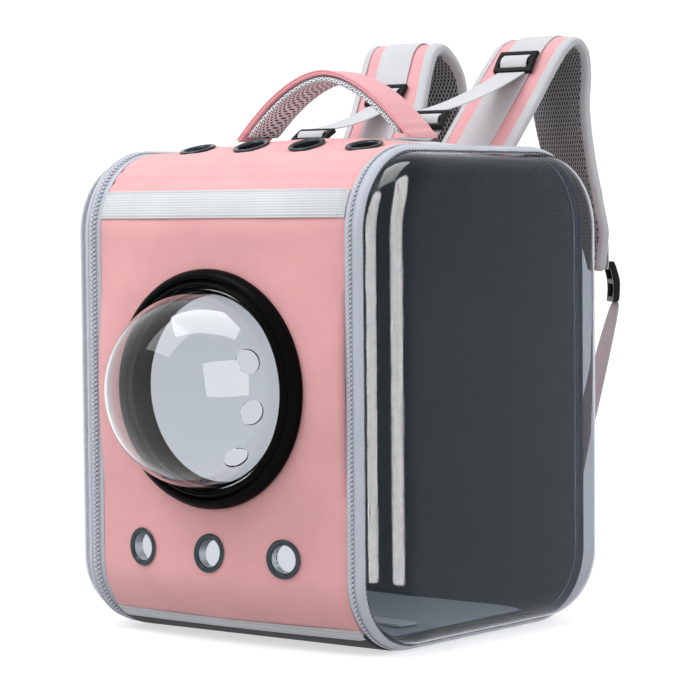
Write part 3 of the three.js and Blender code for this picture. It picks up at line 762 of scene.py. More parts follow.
@dataclass(frozen=True)
class Body:
    """The body's outline at the seams, seen from the side, and the crowned panel over it."""

    width: float = 307.0
    depth: float = 319.0
    height: float = 416.0
    top_radius: float = 69.0
    bottom_radius: float = 65.0
    zip_zone: float = 18.6
    front_crown: float = 18.0
    top_crown: float = 14.0
    top_reach: float = 106.0
    back_crown: float = 6.0
    edge_level: float = 2.0
    zip_top: float = 5.9
    dome_height: float = 218.0
    ring_radius: float = 101.0
    ring_level: float = 13.0
    ring_blend: float = 62.0
    base_edge: float = 17.5
    gap: float = 0.3

    @property
    def half(self) -> float:
        """Half the width between the side seams."""
        return self.width / 2

    @property
    def panel_half(self) -> float:
        """Half the width of the padded panel."""
        return self.half - self.zip_zone

    @property
    def legs(self) -> list[float]:
        """Lengths of the outline's stretches, from under the front edge up, over and back."""
        low = self.bottom_radius * math.pi / 2
        high = self.top_radius * math.pi / 2
        wall = self.height - self.top_radius - self.bottom_radius
        top = self.depth - 2 * self.top_radius
        base = self.depth - 2 * self.bottom_radius
        return [low, wall, high, top, high, wall, low, base]

    @property
    def loop(self) -> float:
        """Length of the whole outline."""
        return sum(self.legs)

    @property
    def band(self) -> tuple[float, float]:
        """Distances where the padded band starts at the front and ends at the back."""
        start = float(self.front(self.base_edge))
        return start, self.loop - self.legs[-1] - start

    def front(self, height: float) -> float:
        """Distance along the outline of a height on the front.

        Args:
            height: The height.

        Returns:
            The distance.
        """
        corner = self.height - self.top_radius
        if height < self.bottom_radius:
            return self.bottom_radius * math.acos(1 - height / self.bottom_radius)
        if height < corner:
            return self.legs[0] + height - self.bottom_radius
        turn = math.asin(min(1.0, (height - corner) / self.top_radius))
        return self.legs[0] + self.legs[1] + self.top_radius * turn

    def top(self, y: float) -> float:
        """Distance along the outline of a place on the flat top.

        Args:
            y: The place.

        Returns:
            The distance.
        """
        return sum(self.legs[:3]) + y + self.legs[3] / 2

    def outline(self, distance: Array) -> tuple[Array, Array, Array, Array]:
        """Point and outward normal at distances along the outline.

        Args:
            distance: Distances in millimetres, of any size.

        Returns:
            Arrays of y, z and the normal's y and z.
        """
        s = np.mod(np.asarray(distance, dtype=float), self.loop)
        ends = np.cumsum(self.legs)
        leg = np.clip(np.searchsorted(ends, s, side="left"), 0, 7)
        rest = s - np.concatenate([[0.0], ends])[leg]
        front, back = -self.depth / 2, self.depth / 2
        low, high = self.bottom_radius, self.top_radius
        corners = {
            0: (front + low, low, low, -math.pi / 2),
            2: (front + high, self.height - high, high, math.pi),
            4: (back - high, self.height - high, high, math.pi / 2),
            6: (back - low, low, low, 0.0),
        }
        walls = {
            1: (lambda r: front + 0 * r, lambda r: low + r, -1.0, 0.0),
            3: (lambda r: front + high + r, lambda r: self.height + 0 * r, 0.0, 1.0),
            5: (lambda r: back + 0 * r, lambda r: self.height - high - r, 1.0, 0.0),
            7: (lambda r: back - low - r, lambda r: 0 * r, 0.0, -1.0),
        }
        y, z, ny, nz = (np.zeros_like(s) for _ in range(4))
        for number, (cy, cz, radius, start) in corners.items():
            on = leg == number
            angle = start - rest[on] / radius
            ny[on], nz[on] = np.cos(angle), np.sin(angle)
            y[on], z[on] = cy + radius * ny[on], cz + radius * nz[on]
        for number, (at_y, at_z, out_y, out_z) in walls.items():
            on = leg == number
            y[on], z[on] = at_y(rest[on]), at_z(rest[on])
            ny[on], nz[on] = out_y, out_z
        return y, z, ny, nz

    def lift(self, nz: Array) -> Array:
        """How much a level counts: the base stays flat on the floor.

        Args:
            nz: The normal's z.

        Returns:
            Shares from 0 to 1.
        """
        return 1.0 - np.maximum(0.0, -nz) ** 2

    def point(self, across: Array, distance: Array, level: Array) -> Array:
        """Points at levels over the seam outline.

        Args:
            across: Values of x.
            distance: Distances along the outline.
            level: Levels over it.

        Returns:
            One point a row.
        """
        y, z, ny, nz = self.outline(distance)
        return np.stack([across + 0 * y, y + ny * level, z + nz * level], axis=1)

    def zip_level(self, distance: Array, level: Array) -> Array:
        """A level of the zip strip, which sinks under the base.

        Args:
            distance: Distances along the outline.
            level: Levels, in millimetres.

        Returns:
            The levels there.
        """
        nz = self.outline(distance)[3]
        return level - self.zip_top * (1.0 - self.lift(nz))

    def on_zip(self, across: Array, distance: Array, level: Array) -> Array:
        """Points at levels of the zip strip.

        Args:
            across: Values of x.
            distance: Distances along the outline.
            level: Levels, in millimetres.

        Returns:
            One point a row.
        """
        return self.point(across, distance, self.zip_level(distance, level))

    def panel_level(self, across: Array, distance: Array) -> Array:
        """Level of the padded panel's outer face.

        Args:
            across: Values of x.
            distance: Distances along the outline.

        Returns:
            The levels.
        """
        y, z, ny, nz = self.outline(distance)
        power = np.where(nz > 0, 6.0, 2.0)
        front = np.maximum(0.0, -ny) ** power
        back = np.maximum(0.0, ny) ** 2
        top = np.maximum(0.0, nz) ** 2 * np.maximum(0.0, 1.0 - (y / self.top_reach) ** 2)
        crown = self.front_crown * front + self.top_crown * top + self.back_crown * back
        crown = np.maximum(self.edge_level, crown)
        share = np.maximum(0.0, 1.0 - (across / self.panel_half) ** 2)
        level = self.edge_level + (crown - self.edge_level) * share
        reach = np.hypot(across, z - self.dome_height)
        free = ease(self.ring_radius + 2, self.ring_radius + self.ring_blend, reach)
        level = np.where(ny < 0, self.ring_level + (level - self.ring_level) * free, level)
        return level * self.lift(nz)

    def on_panel(self, across: Array, distance: Array, level: Array) -> Array:
        """Points at levels over the padded panel.

        Args:
            across: Values of x.
            distance: Distances along the outline.
            level: Levels, in millimetres.

        Returns:
            One point a row.
        """
        return self.point(across, distance, self.panel_level(across, distance) + level)

    def distance_at(self, height: Array, across: Array) -> Array:
        """Distances where the front panel reaches heights at values of x.

        Args:
            height: The heights.
            across: Values of x.

        Returns:
            The distances.
        """
        low = np.zeros_like(height) + self.front(0.0)
        high = np.zeros_like(height) + self.front(self.height)
        for _ in range(26):
            middle = (low + high) / 2
            below = self.on_panel(across, middle, 0 * middle + self.gap)[:, 2] < height
            low, high = np.where(below, middle, low), np.where(below, high, middle)
        return (low + high) / 2

    def seat(self, across: float, distance: float) -> tuple[Vector, Vector]:
        """A point on the panel and the outward direction there.

        Args:
            across: The value of x.
            distance: The distance along the outline.

        Returns:
            The point and the direction.
        """
        step = 6.0
        xs = np.array([across, across + step, across - step, across, across])
        ss = np.array([distance, distance, distance, distance + step, distance - step])
        at = self.on_panel(xs, ss, 0 * xs)
        out = Vector(at[1] - at[2]).cross(Vector(at[3] - at[4]))
        if -out.y + out.z < 0:
            out.negate()
        return Vector(at[0]), out.normalized()


BODY = Body()


@dataclass
class Ribbon:
    """A band along a line: rows of its centre, its width direction, its outward direction and half widths."""

    centre: Array
    wide: Array
    out: Array
    half: Array

    def __post_init__(self) -> None:
        """Measures the line."""
        steps = np.linalg.norm(np.diff(self.centre, axis=0), axis=1)
        self.run = np.concatenate([[0.0], np.cumsum(steps)])

    @property
    def length(self) -> float:
        """Length of the line."""
        return float(self.run[-1])

    def rows(self, values: Array, along: Array) -> Array:
        """Reads rows of values at distances along the line.

        Args:
            values: Rows of values, one for each of the line's points.
            along: Distances along the line.

        Returns:
            One row for each distance.
        """
        return np.stack([np.interp(along, self.run, values[:, i]) for i in range(values.shape[1])], axis=1)

    def half_at(self, along: Array) -> Array:
        """Half the width at distances along the line.

        Args:
            along: Distances along the line.

        Returns:
            Half widths.
        """
        return np.interp(along, self.run, self.half)

    def point(self, across: Array, along: Array, level: Array) -> Array:
        """Points at distances across, along and out of the band.

        Args:
            across: Distances from the middle.
            along: Distances along the line.
            level: Levels, in millimetres.

        Returns:
            One point a row.
        """
        centre = self.rows(self.centre, along)
        wide = self.rows(self.wide, along)
        out = self.rows(self.out, along)
        out /= np.linalg.norm(out, axis=1)[:, None]
        return centre + wide * np.asarray(across)[:, None] + out * np.asarray(level)[:, None]

    def place(self, along: float, level: float) -> tuple[Vector, Vector, Vector]:
        """A point on the band's middle with its width and outward directions.

        Args:
            along: The distance along the line.
            level: The level.

        Returns:
            The point and both directions.
        """
        at = np.array([along])
        point = self.point(0 * at, at, 0 * at + level)[0]
        return Vector(point), Vector(self.rows(self.wide, at)[0]), Vector(self.rows(self.out, at)[0])


def beads(name: str, bead: bpy.types.Object, count: int, pitch: float) -> bpy.types.Object:
    """Repeats a small piece along y.

    Args:
        name: The row's name.
        bead: The piece, flat at the start of the row.
        count: How many there are.
        pitch: The distance from one to the next.

    Returns:
        The row, as one mesh.
    """
    bead.name = name
    bead.data.name = name
    settings = {"use_relative_offset": False, "use_constant_offset": True}
    apply(bead, "ARRAY", count=count, constant_offset_displace=(0.0, pitch, 0.0), **settings)
    return bead


def stitch(length: float = 2.6, thick: float = 0.7) -> bpy.types.Object:
    """One stitch of thread, lying along y at the origin.

    Args:
        length: Its length.
        thick: Its thickness.

    Returns:
        The stitch.
    """
    deselect()
    bpy.ops.mesh.primitive_uv_sphere_add(segments=6, ring_count=5, radius=1.0)
    piece = named("stitch")
    set_points(piece, points_of(piece)[:, [0, 2, 1]] * (thick / 2, length / 2, -thick / 2))
    return piece


def web_strip(
    name: str, ribbon: Ribbon, low: float, thick: float, half: float, span: tuple[float, float]
) -> bpy.types.Object:
    """A flat woven strip on a ribbon, with rounded long edges.

    Args:
        name: The piece's name.
        ribbon: The line that it follows.
        low: Level of its under face.
        thick: Its thickness.
        half: Half its width.
        span: Where it starts and ends along the line.

    Returns:
        The strip.
    """
    piece = flat_grid(name, (-half, span[0]), (half, span[1]), (half / 4, 3.0))
    apply(piece, "SOLIDIFY", thickness=thick, offset=1.0)
    apply(piece, "BEVEL", width=thick * 0.35, segments=2, limit_method="ANGLE", angle_limit=math.radians(60))

    def place(across: Array, along: Array, level: Array) -> Array:
        """Lays the flat points in place."""
        limit = np.minimum(1.0, ribbon.half_at(along) * 0.94 / half)
        return ribbon.point(across * limit, along, level + low)

    wrap(piece, place)
    merge(piece, outward=True)
    smooth(piece)
    return piece


@dataclass(frozen=True)
class Pad:
    """A foam band with a squared oval section on a ribbon, sewn flat at both ends."""

    low: float
    high: float
    squareness: float = 4.0
    taper: float = 14.0

    def section(self, turn: Array, half: Array, proud: float = 0.0) -> tuple[Array, Array]:
        """Across and level of points round the section.

        Args:
            turn: Angles round it, from the middle of the right edge.
            half: Half widths.
            proud: How far outside the pad's face the points lie.

        Returns:
            Arrays of across and level.
        """
        power = 2.0 / self.squareness
        c, s = np.cos(turn), np.sin(turn)
        thick = (self.high - self.low) / 2 + proud
        across = (half + proud) * np.sign(c) * np.abs(c) ** power
        level = thick * np.sign(s) * np.abs(s) ** power
        return across, level

    def fill(self, ribbon: Ribbon, along: Array) -> Array:
        """How full the section is near the ribbon's ends.

        Args:
            ribbon: The line that it follows.
            along: Distances along the line.

        Returns:
            Shares from 0 to 1.
        """
        end = np.minimum(along, ribbon.length - along)
        share = np.clip(end / self.taper, 0.0, 1.0)
        return np.sqrt(np.clip(1.0 - (1.0 - share) ** 2, 0.0, 1.0))

    def build(
        self, name: str, ribbon: Ribbon, relief: Callable[[Array, Array], Array] | None = None
    ) -> bpy.types.Object:
        """The padded band.

        Args:
            name: The piece's name.
            ribbon: The line that it follows.
            relief: How far the face stands out at values of across and along.

        Returns:
            The closed piece.
        """
        round_length = 4.0 * float(ribbon.half.max()) + 2.0 * (self.high - self.low)
        piece = flat_grid(name, (0.0, 0.0), (round_length, ribbon.length), (round_length / 48, 3.0))
        middle = (self.high + self.low) / 2

        def place(across: Array, along: Array, level: Array) -> Array:
            """Lays the flat points in place."""
            turn = -TURN * across / round_length
            x, z = self.section(turn, ribbon.half_at(along))
            z = z * self.fill(ribbon, along)
            if relief is not None:
                z = z + relief(x, along) * np.sin(turn)
            return ribbon.point(x, along, middle + z)

        wrap(piece, place)
        merge(piece, outward=True)
        smooth(piece, 60)
        return piece

    def edging(self, name: str, ribbon: Ribbon, right: bool, width: float = 8.0) -> bpy.types.Object:
        """A binding tape folded over one edge of the pad.

        Args:
            name: The piece's name.
            ribbon: The line that the pad follows.
            right: True for the edge in the ribbon's width direction.
            width: How far it reaches over each face.

        Returns:
            The tape.
        """
        reach = width + (self.high - self.low) / 2
        piece = flat_grid(name, (-reach, 0.0), (reach, ribbon.length), (reach / 8, 3.0))
        middle = (self.high + self.low) / 2

        def place(across: Array, along: Array, level: Array) -> Array:
            """Lays the flat points in place."""
            half = ribbon.half_at(along)
            share = np.clip((half - width) / half, 0.05, 1.0)
            widest = np.arccos(share ** (self.squareness / 2))
            turn = widest * across / reach
            ripple = 0.12 * np.sin(TURN * along / 9.0 + across)
            x, z = self.section(turn, half, 0.55)
            z = z * np.maximum(self.fill(ribbon, along), 0.12)
            return ribbon.point(x if right else -x, along, middle + z + ripple)

        wrap(piece, place)
        if right:
            flip(piece)
        apply(piece, "SOLIDIFY", thickness=0.9 * MM, offset=-1.0)
        merge(piece, outward=True)
        smooth(piece)
        return piece


# The carrier's sub-assemblies


def cloth_waves(across: Array, along: Array, size: float) -> Array:
    """Low, broad undulation of padded cloth, in millimetres.

    Args:
        across: Values of x.
        along: Distances along the line.
        size: Their height.

    Returns:
        The levels.
    """
    one = np.sin(along / 61.0 + 1.3 * np.sin(across / 47.0)) * np.cos(across / 39.0 + 0.7)
    two = np.sin(along / 23.0 + across / 31.0 + 2.0) * np.sin(across / 17.0 + along / 71.0)
    return size * (0.7 * one + 0.3 * two)


@dataclass
class PaddedShell:
    """The padded band over front, top and back, the base panel and the dark lining inside."""

    cell: float = 4.0
    thickness: float = 6.0
    lining: float = 1.5
    waves: float = 0.55
    lining_waves: float = 0.15
    seam_depth: float = 1.5
    seam_width: float = 2.2
    channel_depth: float = 1.4
    channel_width: float = 4.0
    rolled_edge: float = 1.2
    collar: float = 84.3
    shank: float = 12.6
    flange: float = 6.0
    seams: tuple[float, ...] = (392.0, 402.0)
    back_channels: tuple[float, ...] = (120.0, 210.0, 300.0)

    def holes(self) -> list[tuple[float, float, float]]:
        """Across, distance and radius of the dome's opening and the eyelets' holes.

        Returns:
            One hole a row.
        """
        dome = (0.0, BODY.front(BODY.dome_height), self.collar)
        return [dome] + [(x, s, self.shank) for x, s in Eyelets().places()]

    def relief(self, across: Array, distance: Array) -> Array:
        """Seams, soft waves and the rolled long edges of the band.

        Args:
            across: Values of x.
            distance: Distances along the outline.

        Returns:
            The levels.
        """
        side = np.abs(across)
        level = cloth_waves(across, distance, self.waves) * ease(0.0, 25.0, BODY.panel_half - side)
        for height in self.seams:
            off = (distance - BODY.front(height)) / self.seam_width
            level = level - self.seam_depth * np.exp(-(off**2))
        for height in self.back_channels:
            back = BODY.loop - BODY.legs[-1] - BODY.front(height)
            off = (distance - back) / self.channel_width
            level = level - self.channel_depth * np.exp(-(off**2))
        eyelets = Eyelets()
        for x, middle in eyelets.places()[3:]:
            reach = np.hypot(across - x, distance - middle)
            level = level + eyelets.lean * (distance - middle) * ease(27.0, 15.0, reach)
        away = np.hypot(across, distance - BODY.front(BODY.dome_height))
        level = level * ease(102.0, 130.0, away)
        return level - self.rolled_edge * ease(-5.0, 0.0, side - BODY.panel_half)

    def on_cloth(self, across: Array, distance: Array, level: Array) -> Array:
        """Points at levels under the band's worked outer face.

        Args:
            across: Values of x.
            distance: Distances along the outline.
            level: Levels, in millimetres.

        Returns:
            One point a row.
        """
        worked = np.where(level > -0.5, self.relief(across, distance), 0.0)
        return BODY.on_panel(across, distance, level + worked)

    def band(self) -> None:
        """The pink padded band."""
        start, end = BODY.band
        half = BODY.panel_half
        piece = flat_grid("padded_band", (-half, start), (half, end), self.cell)
        cut_holes(piece, self.holes())
        map_flat(piece)
        apply(piece, "SOLIDIFY", thickness=self.thickness, offset=-1.0)
        wrap(piece, self.on_cloth)
        smooth(piece, 60)
        dressed(piece, PINK, "pink", "body_band")

    def base(self) -> None:
        """The dark panel that the carrier stands on."""
        start, end = BODY.band
        low, high = end + BODY.gap - BODY.loop, start - BODY.gap
        half = BODY.panel_half
        piece = flat_grid("base_panel_cloth", (-half, low), (half, high), self.cell)
        apply(piece, "SOLIDIFY", thickness=self.thickness, offset=-1.0)
        wrap(piece, BODY.on_panel)
        smooth(piece, 60)
        dressed(piece, BASE_CLOTH, "charcoal", "base_panel")

    def inside(self) -> None:
        """The dark lining, one closed loop with holes at the dome and the eyelets."""
        half = BODY.half - self.flange - 2 * BODY.gap
        piece = flat_grid("lining_cloth", (-half, 0.0), (half, BODY.loop), 5.0)
        cut_holes(piece, self.holes())
        map_flat(piece)

        def place(across: Array, distance: Array, level: Array) -> Array:
            """Lays the flat points in place."""
            outer = np.abs(across) > BODY.panel_half
            edge = BODY.zip_level(distance, BODY.edge_level + 0 * distance)
            face = np.where(outer, edge, BODY.panel_level(across, distance))
            soft = cloth_waves(across, distance, self.lining_waves)
            return BODY.point(across, distance, face - self.thickness - BODY.gap + soft)

        wrap(piece, place)
        merge(piece)
        apply(piece, "SOLIDIFY", thickness=self.lining * MM, offset=-1.0)
        smooth(piece, 60)
        dressed(piece, CHARCOAL, "charcoal", "lining")

    def build(self) -> None:
        """Builds the shell."""
        self.band()
        self.base()
        self.inside()


@dataclass
class Eyelets:
    """Rolled metal eyelets: three low on the front and four on the top."""

    front_spacing: float = 78.0
    front_height: float = 80.0
    top_spacing: float = 62.0
    top_setback: float = 79.0
    lean: float = 0.15
    profile: tuple[tuple[float, float], ...] = (
        (11.7, -8.5),
        (12.3, -8.5),
        (12.3, 0.8),
        (16.1, 0.8),
        (16.5, 1.2),
        (16.3, 1.8),
        (15.4, 2.3),
        (14.2, 2.4),
        (13.0, 2.1),
        (12.1, 1.4),
        (11.7, 0.4),
    )

    def places(self) -> list[tuple[float, float]]:
        """Across and distance of each eyelet, the front row first.

        Returns:
            One pair for each eyelet.
        """
        front = [(self.front_spacing * (i - 1), BODY.front(self.front_height)) for i in range(3)]
        top = [(self.top_spacing * (i - 1.5), BODY.top(-self.top_setback)) for i in range(4)]
        return front + top

    def build(self) -> None:
        """Turns one eyelet and sets a copy on each seat, with painted light in the bore in front and painted
        shade on top.
        """
        model = spun("eyelet", list(self.profile), 48)
        smooth(model, 50)
        bore = [f.index for f in model.data.polygons if f.center.z < 0.7 and f.center.xy.length < 12.1]
        names = [f"front_{i + 1}" for i in range(3)] + [f"top_{i + 1}" for i in range(4)]
        for name, (across, distance) in zip(names, self.places()):
            piece = copied(model, f"rolled_eyelet_{name}")
            seat, out = BODY.seat(across, distance)
            if name.startswith("top"):
                out = (out - Vector((0.0, self.lean, 0.0))).normalized()
            settle(piece, seat, Vector((1, 0, 0)) - out * out.x, out)
            dressed(piece, GUNMETAL, "eyelet", f"eyelet_{name}")
            # The bore is painted: pale in front for the light seen through it, black on top for the shade
            # inside it.
            painted_bore = SATIN_BLACK if name.startswith("top") else PAINTED_LIT_BORE
            piece.data.materials.append(painted_bore.material())
            for number in bore:
                piece.data.polygons[number].material_index = 1
        bpy.data.objects.remove(model)


@dataclass
class SideWindow:
    """One clear side tray with the binding that holds it and the zip round it."""

    side: Side
    tape_width: float = 11.6
    tape_low: float = 1.0
    tape_rise: float = 3.0
    tape_thickness: float = 1.2
    coil_width: float = 5.6
    coil_inset: float = 2.2
    tooth_pitch: float = 3.9
    tooth_size: tuple[float, float, float] = (1.75, 1.35, 1.1)
    tooth_offset: float = 1.25
    tooth_slant: float = 0.35
    tooth_level: float = 0.7
    binding_radius: tuple[float, float] = (6.4, 5.0)
    binding_sink: float = 0.9
    binding_thickness: float = 0.9
    binding_ripple: float = 0.1
    stitch_pitch: float = 4.2
    stitch_size: tuple[float, float] = (4.0, 1.5)
    stitch_place: float = 0.93
    bulge: float = 24.0
    wall: float = 1.2
    edge_front: float = 36.0
    edge_back: float = 22.0
    edge_top: float = 24.0
    edge_bottom: float = 26.0

    @property
    def tape_start(self) -> float:
        """Where the tape starts, beside the padded panel."""
        return BODY.panel_half + BODY.gap

    @property
    def binding_start(self) -> float:
        """Where the binding starts, beside the tape."""
        return self.tape_start + self.tape_width + BODY.gap

    def tape_level(self, across: Array) -> Array:
        """Level of the tape's outer face, which rises towards the binding.

        Args:
            across: Values of x.

        Returns:
            The levels.
        """
        return self.tape_low + self.tape_rise * (across - self.tape_start) / self.tape_width

    def laid(self, piece: bpy.types.Object, level: Callable[[Array], Array], closed: bool = True) -> None:
        """Wraps a flat piece round the zip's line on this side.

        Args:
            piece: The flat piece, whose x counts from the middle and whose y runs along the outline.
            level: The level to which its z is added, for values of x.
            closed: True merges its two ends.
        """
        sign = self.side.value

        def place(across: Array, along: Array, z: Array) -> Array:
            """Lays the flat points in place."""
            return BODY.on_zip(sign * across, along, level(across) + z)

        wrap(piece, place)
        if sign < 0:
            flip(piece)
        if closed:
            merge(piece)

    def tape(self) -> None:
        """The woven tape."""
        start, end = self.tape_start, self.tape_start + self.tape_width
        piece = flat_grid(f"woven_tape_{self.side.word}", (start, 0.0), (end, BODY.loop), (1.6, 4.0))
        self.laid(piece, self.tape_level)
        apply(piece, "SOLIDIFY", thickness=self.tape_thickness * MM, offset=-1.0)
        smooth(piece)
        dressed(piece, TAPE, "tape", f"zip_tape_{self.side.word}")

    def coil(self) -> None:
        """The teeth: two staggered rows of nylon loops that meet in the middle."""
        middle = self.tape_start + self.tape_width - self.coil_width / 2 - self.coil_inset
        count = round(BODY.loop / self.tooth_pitch)
        pitch = BODY.loop / count
        rows = []
        for sign, shift in ((-1, 0.0), (1, 0.5)):
            deselect()
            bpy.ops.mesh.primitive_uv_sphere_add(segments=8, ring_count=6, radius=1.0)
            tooth = named("tooth")
            shaped = points_of(tooth) * self.tooth_size
            shaped[:, 1] += self.tooth_slant * sign * shaped[:, 0]
            shaped += (middle + sign * self.tooth_offset, shift * pitch, self.tooth_level)
            set_points(tooth, shaped)
            rows.append(beads("teeth", tooth, count, pitch))
        piece = joined(f"zip_teeth_{self.side.word}", rows)
        self.laid(piece, lambda x: self.tape_level(x) + BODY.gap, closed=False)
        smooth(piece, 80)
        dressed(piece, COIL, "tape", f"zip_coil_{self.side.word}")

    def binding(self) -> None:
        """The smooth binding, a quarter round from the zip to the seam, and its row of stitches."""
        wide, high = self.binding_radius
        start = self.binding_start
        name = f"rolled_binding_{self.side.word}"
        piece = flat_grid(name, (0.0, 0.0), (wide + high, BODY.loop), ((wide + high) / 9, 4.0))
        sign = self.side.value

        def round_place(across: Array, along: Array, z: Array) -> Array:
            """Lays the flat points round the quarter circle."""
            turn = across / (wide + high) * math.pi / 2
            x = start + wide * np.sin(turn)
            level = -self.binding_sink + high * np.cos(turn) + self.binding_ripple * np.sin(along / 5.0)
            return BODY.on_zip(sign * x, along, level + z)

        wrap(piece, round_place)
        if sign < 0:
            flip(piece)
        merge(piece)
        apply(piece, "SOLIDIFY", thickness=self.binding_thickness * MM, offset=-1.0)
        smooth(piece)
        dressed(piece, BINDING, "tape", f"window_binding_{self.side.word}")

        count = round(BODY.loop / self.stitch_pitch)
        name = f"binding_stitches_{self.side.word}"
        row = beads(name, stitch(*self.stitch_size), count, BODY.loop / count)
        moved = points_of(row)
        moved[:, 0] += self.stitch_place * (wide + high)
        set_points(row, moved)
        wrap(row, round_place)
        dressed(row, DARK_THREAD, "tape")

    def inset(self, ny: Array, nz: Array) -> Array:
        """How far the tray's edge turns in at an outline normal.

        Args:
            ny: The normal's y.
            nz: The normal's z.

        Returns:
            The distances.
        """
        wall = np.where(ny < 0, self.edge_front, self.edge_back)
        cap = np.where(nz < 0, self.edge_bottom, self.edge_top)
        return wall * ny**2 + cap * nz**2

    def tray(self) -> None:
        """The clear tray: a flange under the binding, a rounded edge and a flat face."""
        curve, face = 16, 8
        columns = 1 + curve + face
        name = f"clear_tray_{self.side.word}"
        rows = round(BODY.loop / 5.0)
        piece = flat_grid(name, (0.0, 0.0), (float(columns), float(rows)), 1.0)
        sign = self.side.value
        edge_x = BODY.half + 2 * BODY.gap
        sunk = self.binding_sink + BODY.gap

        def place(across: Array, along: Array, z: Array) -> Array:
            """Lays the flat points in place."""
            distance = along / rows * BODY.loop
            angle = np.clip((across - 1) / curve, 0.0, 1.0) * math.pi / 2
            _, _, ny, nz = BODY.outline(distance)
            inset = sunk + (1 - np.cos(angle)) * self.inset(ny, nz)
            x = edge_x + self.bulge * np.sin(angle)
            x = np.where(across < 0.5, self.binding_start + BODY.gap, x)
            at = BODY.on_zip(sign * x, distance, -inset)
            share = np.clip((across - 1 - curve) / face, 0.0, 1.0)[:, None]
            middle = np.array([sign * (edge_x + self.bulge), 0.0, BODY.height / 2])
            return at + (middle - at) * share

        wrap(piece, place)
        if sign < 0:
            flip(piece)
        merge(piece)
        apply(piece, "SOLIDIFY", thickness=self.wall * MM, offset=-1.0)
        smooth(piece, 60)
        dressed(piece, CLEAR, "clear", f"side_window_{self.side.word}")

    def build(self) -> None:
        """Builds the window's pieces."""
        self.tape()
        self.coil()
        self.binding()
        self.tray()


@dataclass
class Bubble:
    """The clear dome with its vent holes, in a glossy black ring."""

    radius: float = 84.0
    wall: float = 1.6
    centre_level: float = 20.0
    vent_radius: float = 10.5
    vents: tuple[tuple[float, float], ...] = ((68.0, 19.0), (69.0, -10.0), (64.0, -39.0))
    ring_profile: tuple[tuple[float, float], ...] = (
        (80.0, -0.5),
        (84.0, -0.5),
        (84.0, 9.3),
        (96.0, 9.3),
        (99.3, 11.2),
        (101.0, 15.0),
        (100.8, 18.5),
        (99.3, 21.8),
        (96.6, 24.2),
        (94.0, 24.9),
        (92.4, 24.2),
        (91.6, 23.0),
        (90.8, 23.4),
        (89.8, 25.4),
        (88.6, 26.6),
        (87.4, 27.0),
        (86.3, 26.4),
        (86.0, 25.0),
        (86.0, 18.1),
        (80.0, 18.1),
    )

    def centre(self) -> Vector:
        """The middle of the half sphere.

        Returns:
            The point.
        """
        return Vector((0.0, -BODY.depth / 2 - self.centre_level, BODY.dome_height))

    def ring(self) -> None:
        """The moulded ring."""
        piece = spun("moulded_ring", list(self.ring_profile), 160)
        settle(piece, Vector((0.0, -BODY.depth / 2, BODY.dome_height)), Vector((1, 0, 0)), Vector((0, -1, 0)))
        smooth(piece, 50)
        dressed(piece, GLOSS_BLACK, "ring", "dome_ring")

    def axes(self) -> list[Vector]:
        """The outward direction of each vent.

        Returns:
            One direction for each vent.
        """
        found = []
        for turn, lift in self.vents:
            flat = math.cos(math.radians(lift))
            across, ahead = math.sin(math.radians(turn)), math.cos(math.radians(turn))
            found.append(Vector((across * flat, -ahead * flat, math.sin(math.radians(lift)))))
        return found

    def dome(self) -> None:
        """The half sphere, with each vent's edge drawn onto a true circle."""
        piece = flat_grid("clear_dome", (0.0, 0.0), (192.0, 60.0), 1.0)
        centre = np.array(self.centre())

        def place(across: Array, along: Array, z: Array) -> Array:
            """Lays the flat points in place."""
            turn = TURN * across / 192.0
            fall = math.pi / 2 * along / 60.0
            x, up = np.sin(fall) * np.cos(turn), np.sin(fall) * np.sin(turn)
            return centre + self.radius * np.stack([x, -np.cos(fall), up], axis=1)

        wrap(piece, place)
        merge(piece, outward=True)
        self.pierce(piece)
        apply(piece, "SOLIDIFY", thickness=self.wall * MM, offset=-1.0)
        smooth(piece, 50)
        dressed(piece, BUBBLE, "clear", "dome")

    def pierce(self, piece: bpy.types.Object) -> None:
        """Opens the vents in the half sphere's skin.

        Args:
            piece: The mesh.
        """
        centre = self.centre() * MM
        limit = math.asin(self.vent_radius / self.radius)
        shell = bmesh.new()
        shell.from_mesh(piece.data)
        for axis in self.axes():
            inside = [f for f in shell.faces if (f.calc_center_median() - centre).angle(axis) < limit]
            bmesh.ops.delete(shell, geom=inside, context="FACES")
            for vertex in shell.verts:
                from_centre = vertex.co - centre
                if not vertex.is_boundary or from_centre.angle(axis) > limit * 1.6:
                    continue
                out = from_centre.normalized()
                aside = (out - axis * out.dot(axis)).normalized()
                vertex.co = centre + (axis * math.cos(limit) + aside * math.sin(limit)) * self.radius * MM
        shell.to_mesh(piece.data)
        shell.free()

    def build(self) -> None:
        """Builds the ring and the dome."""
        self.ring()
        self.dome()


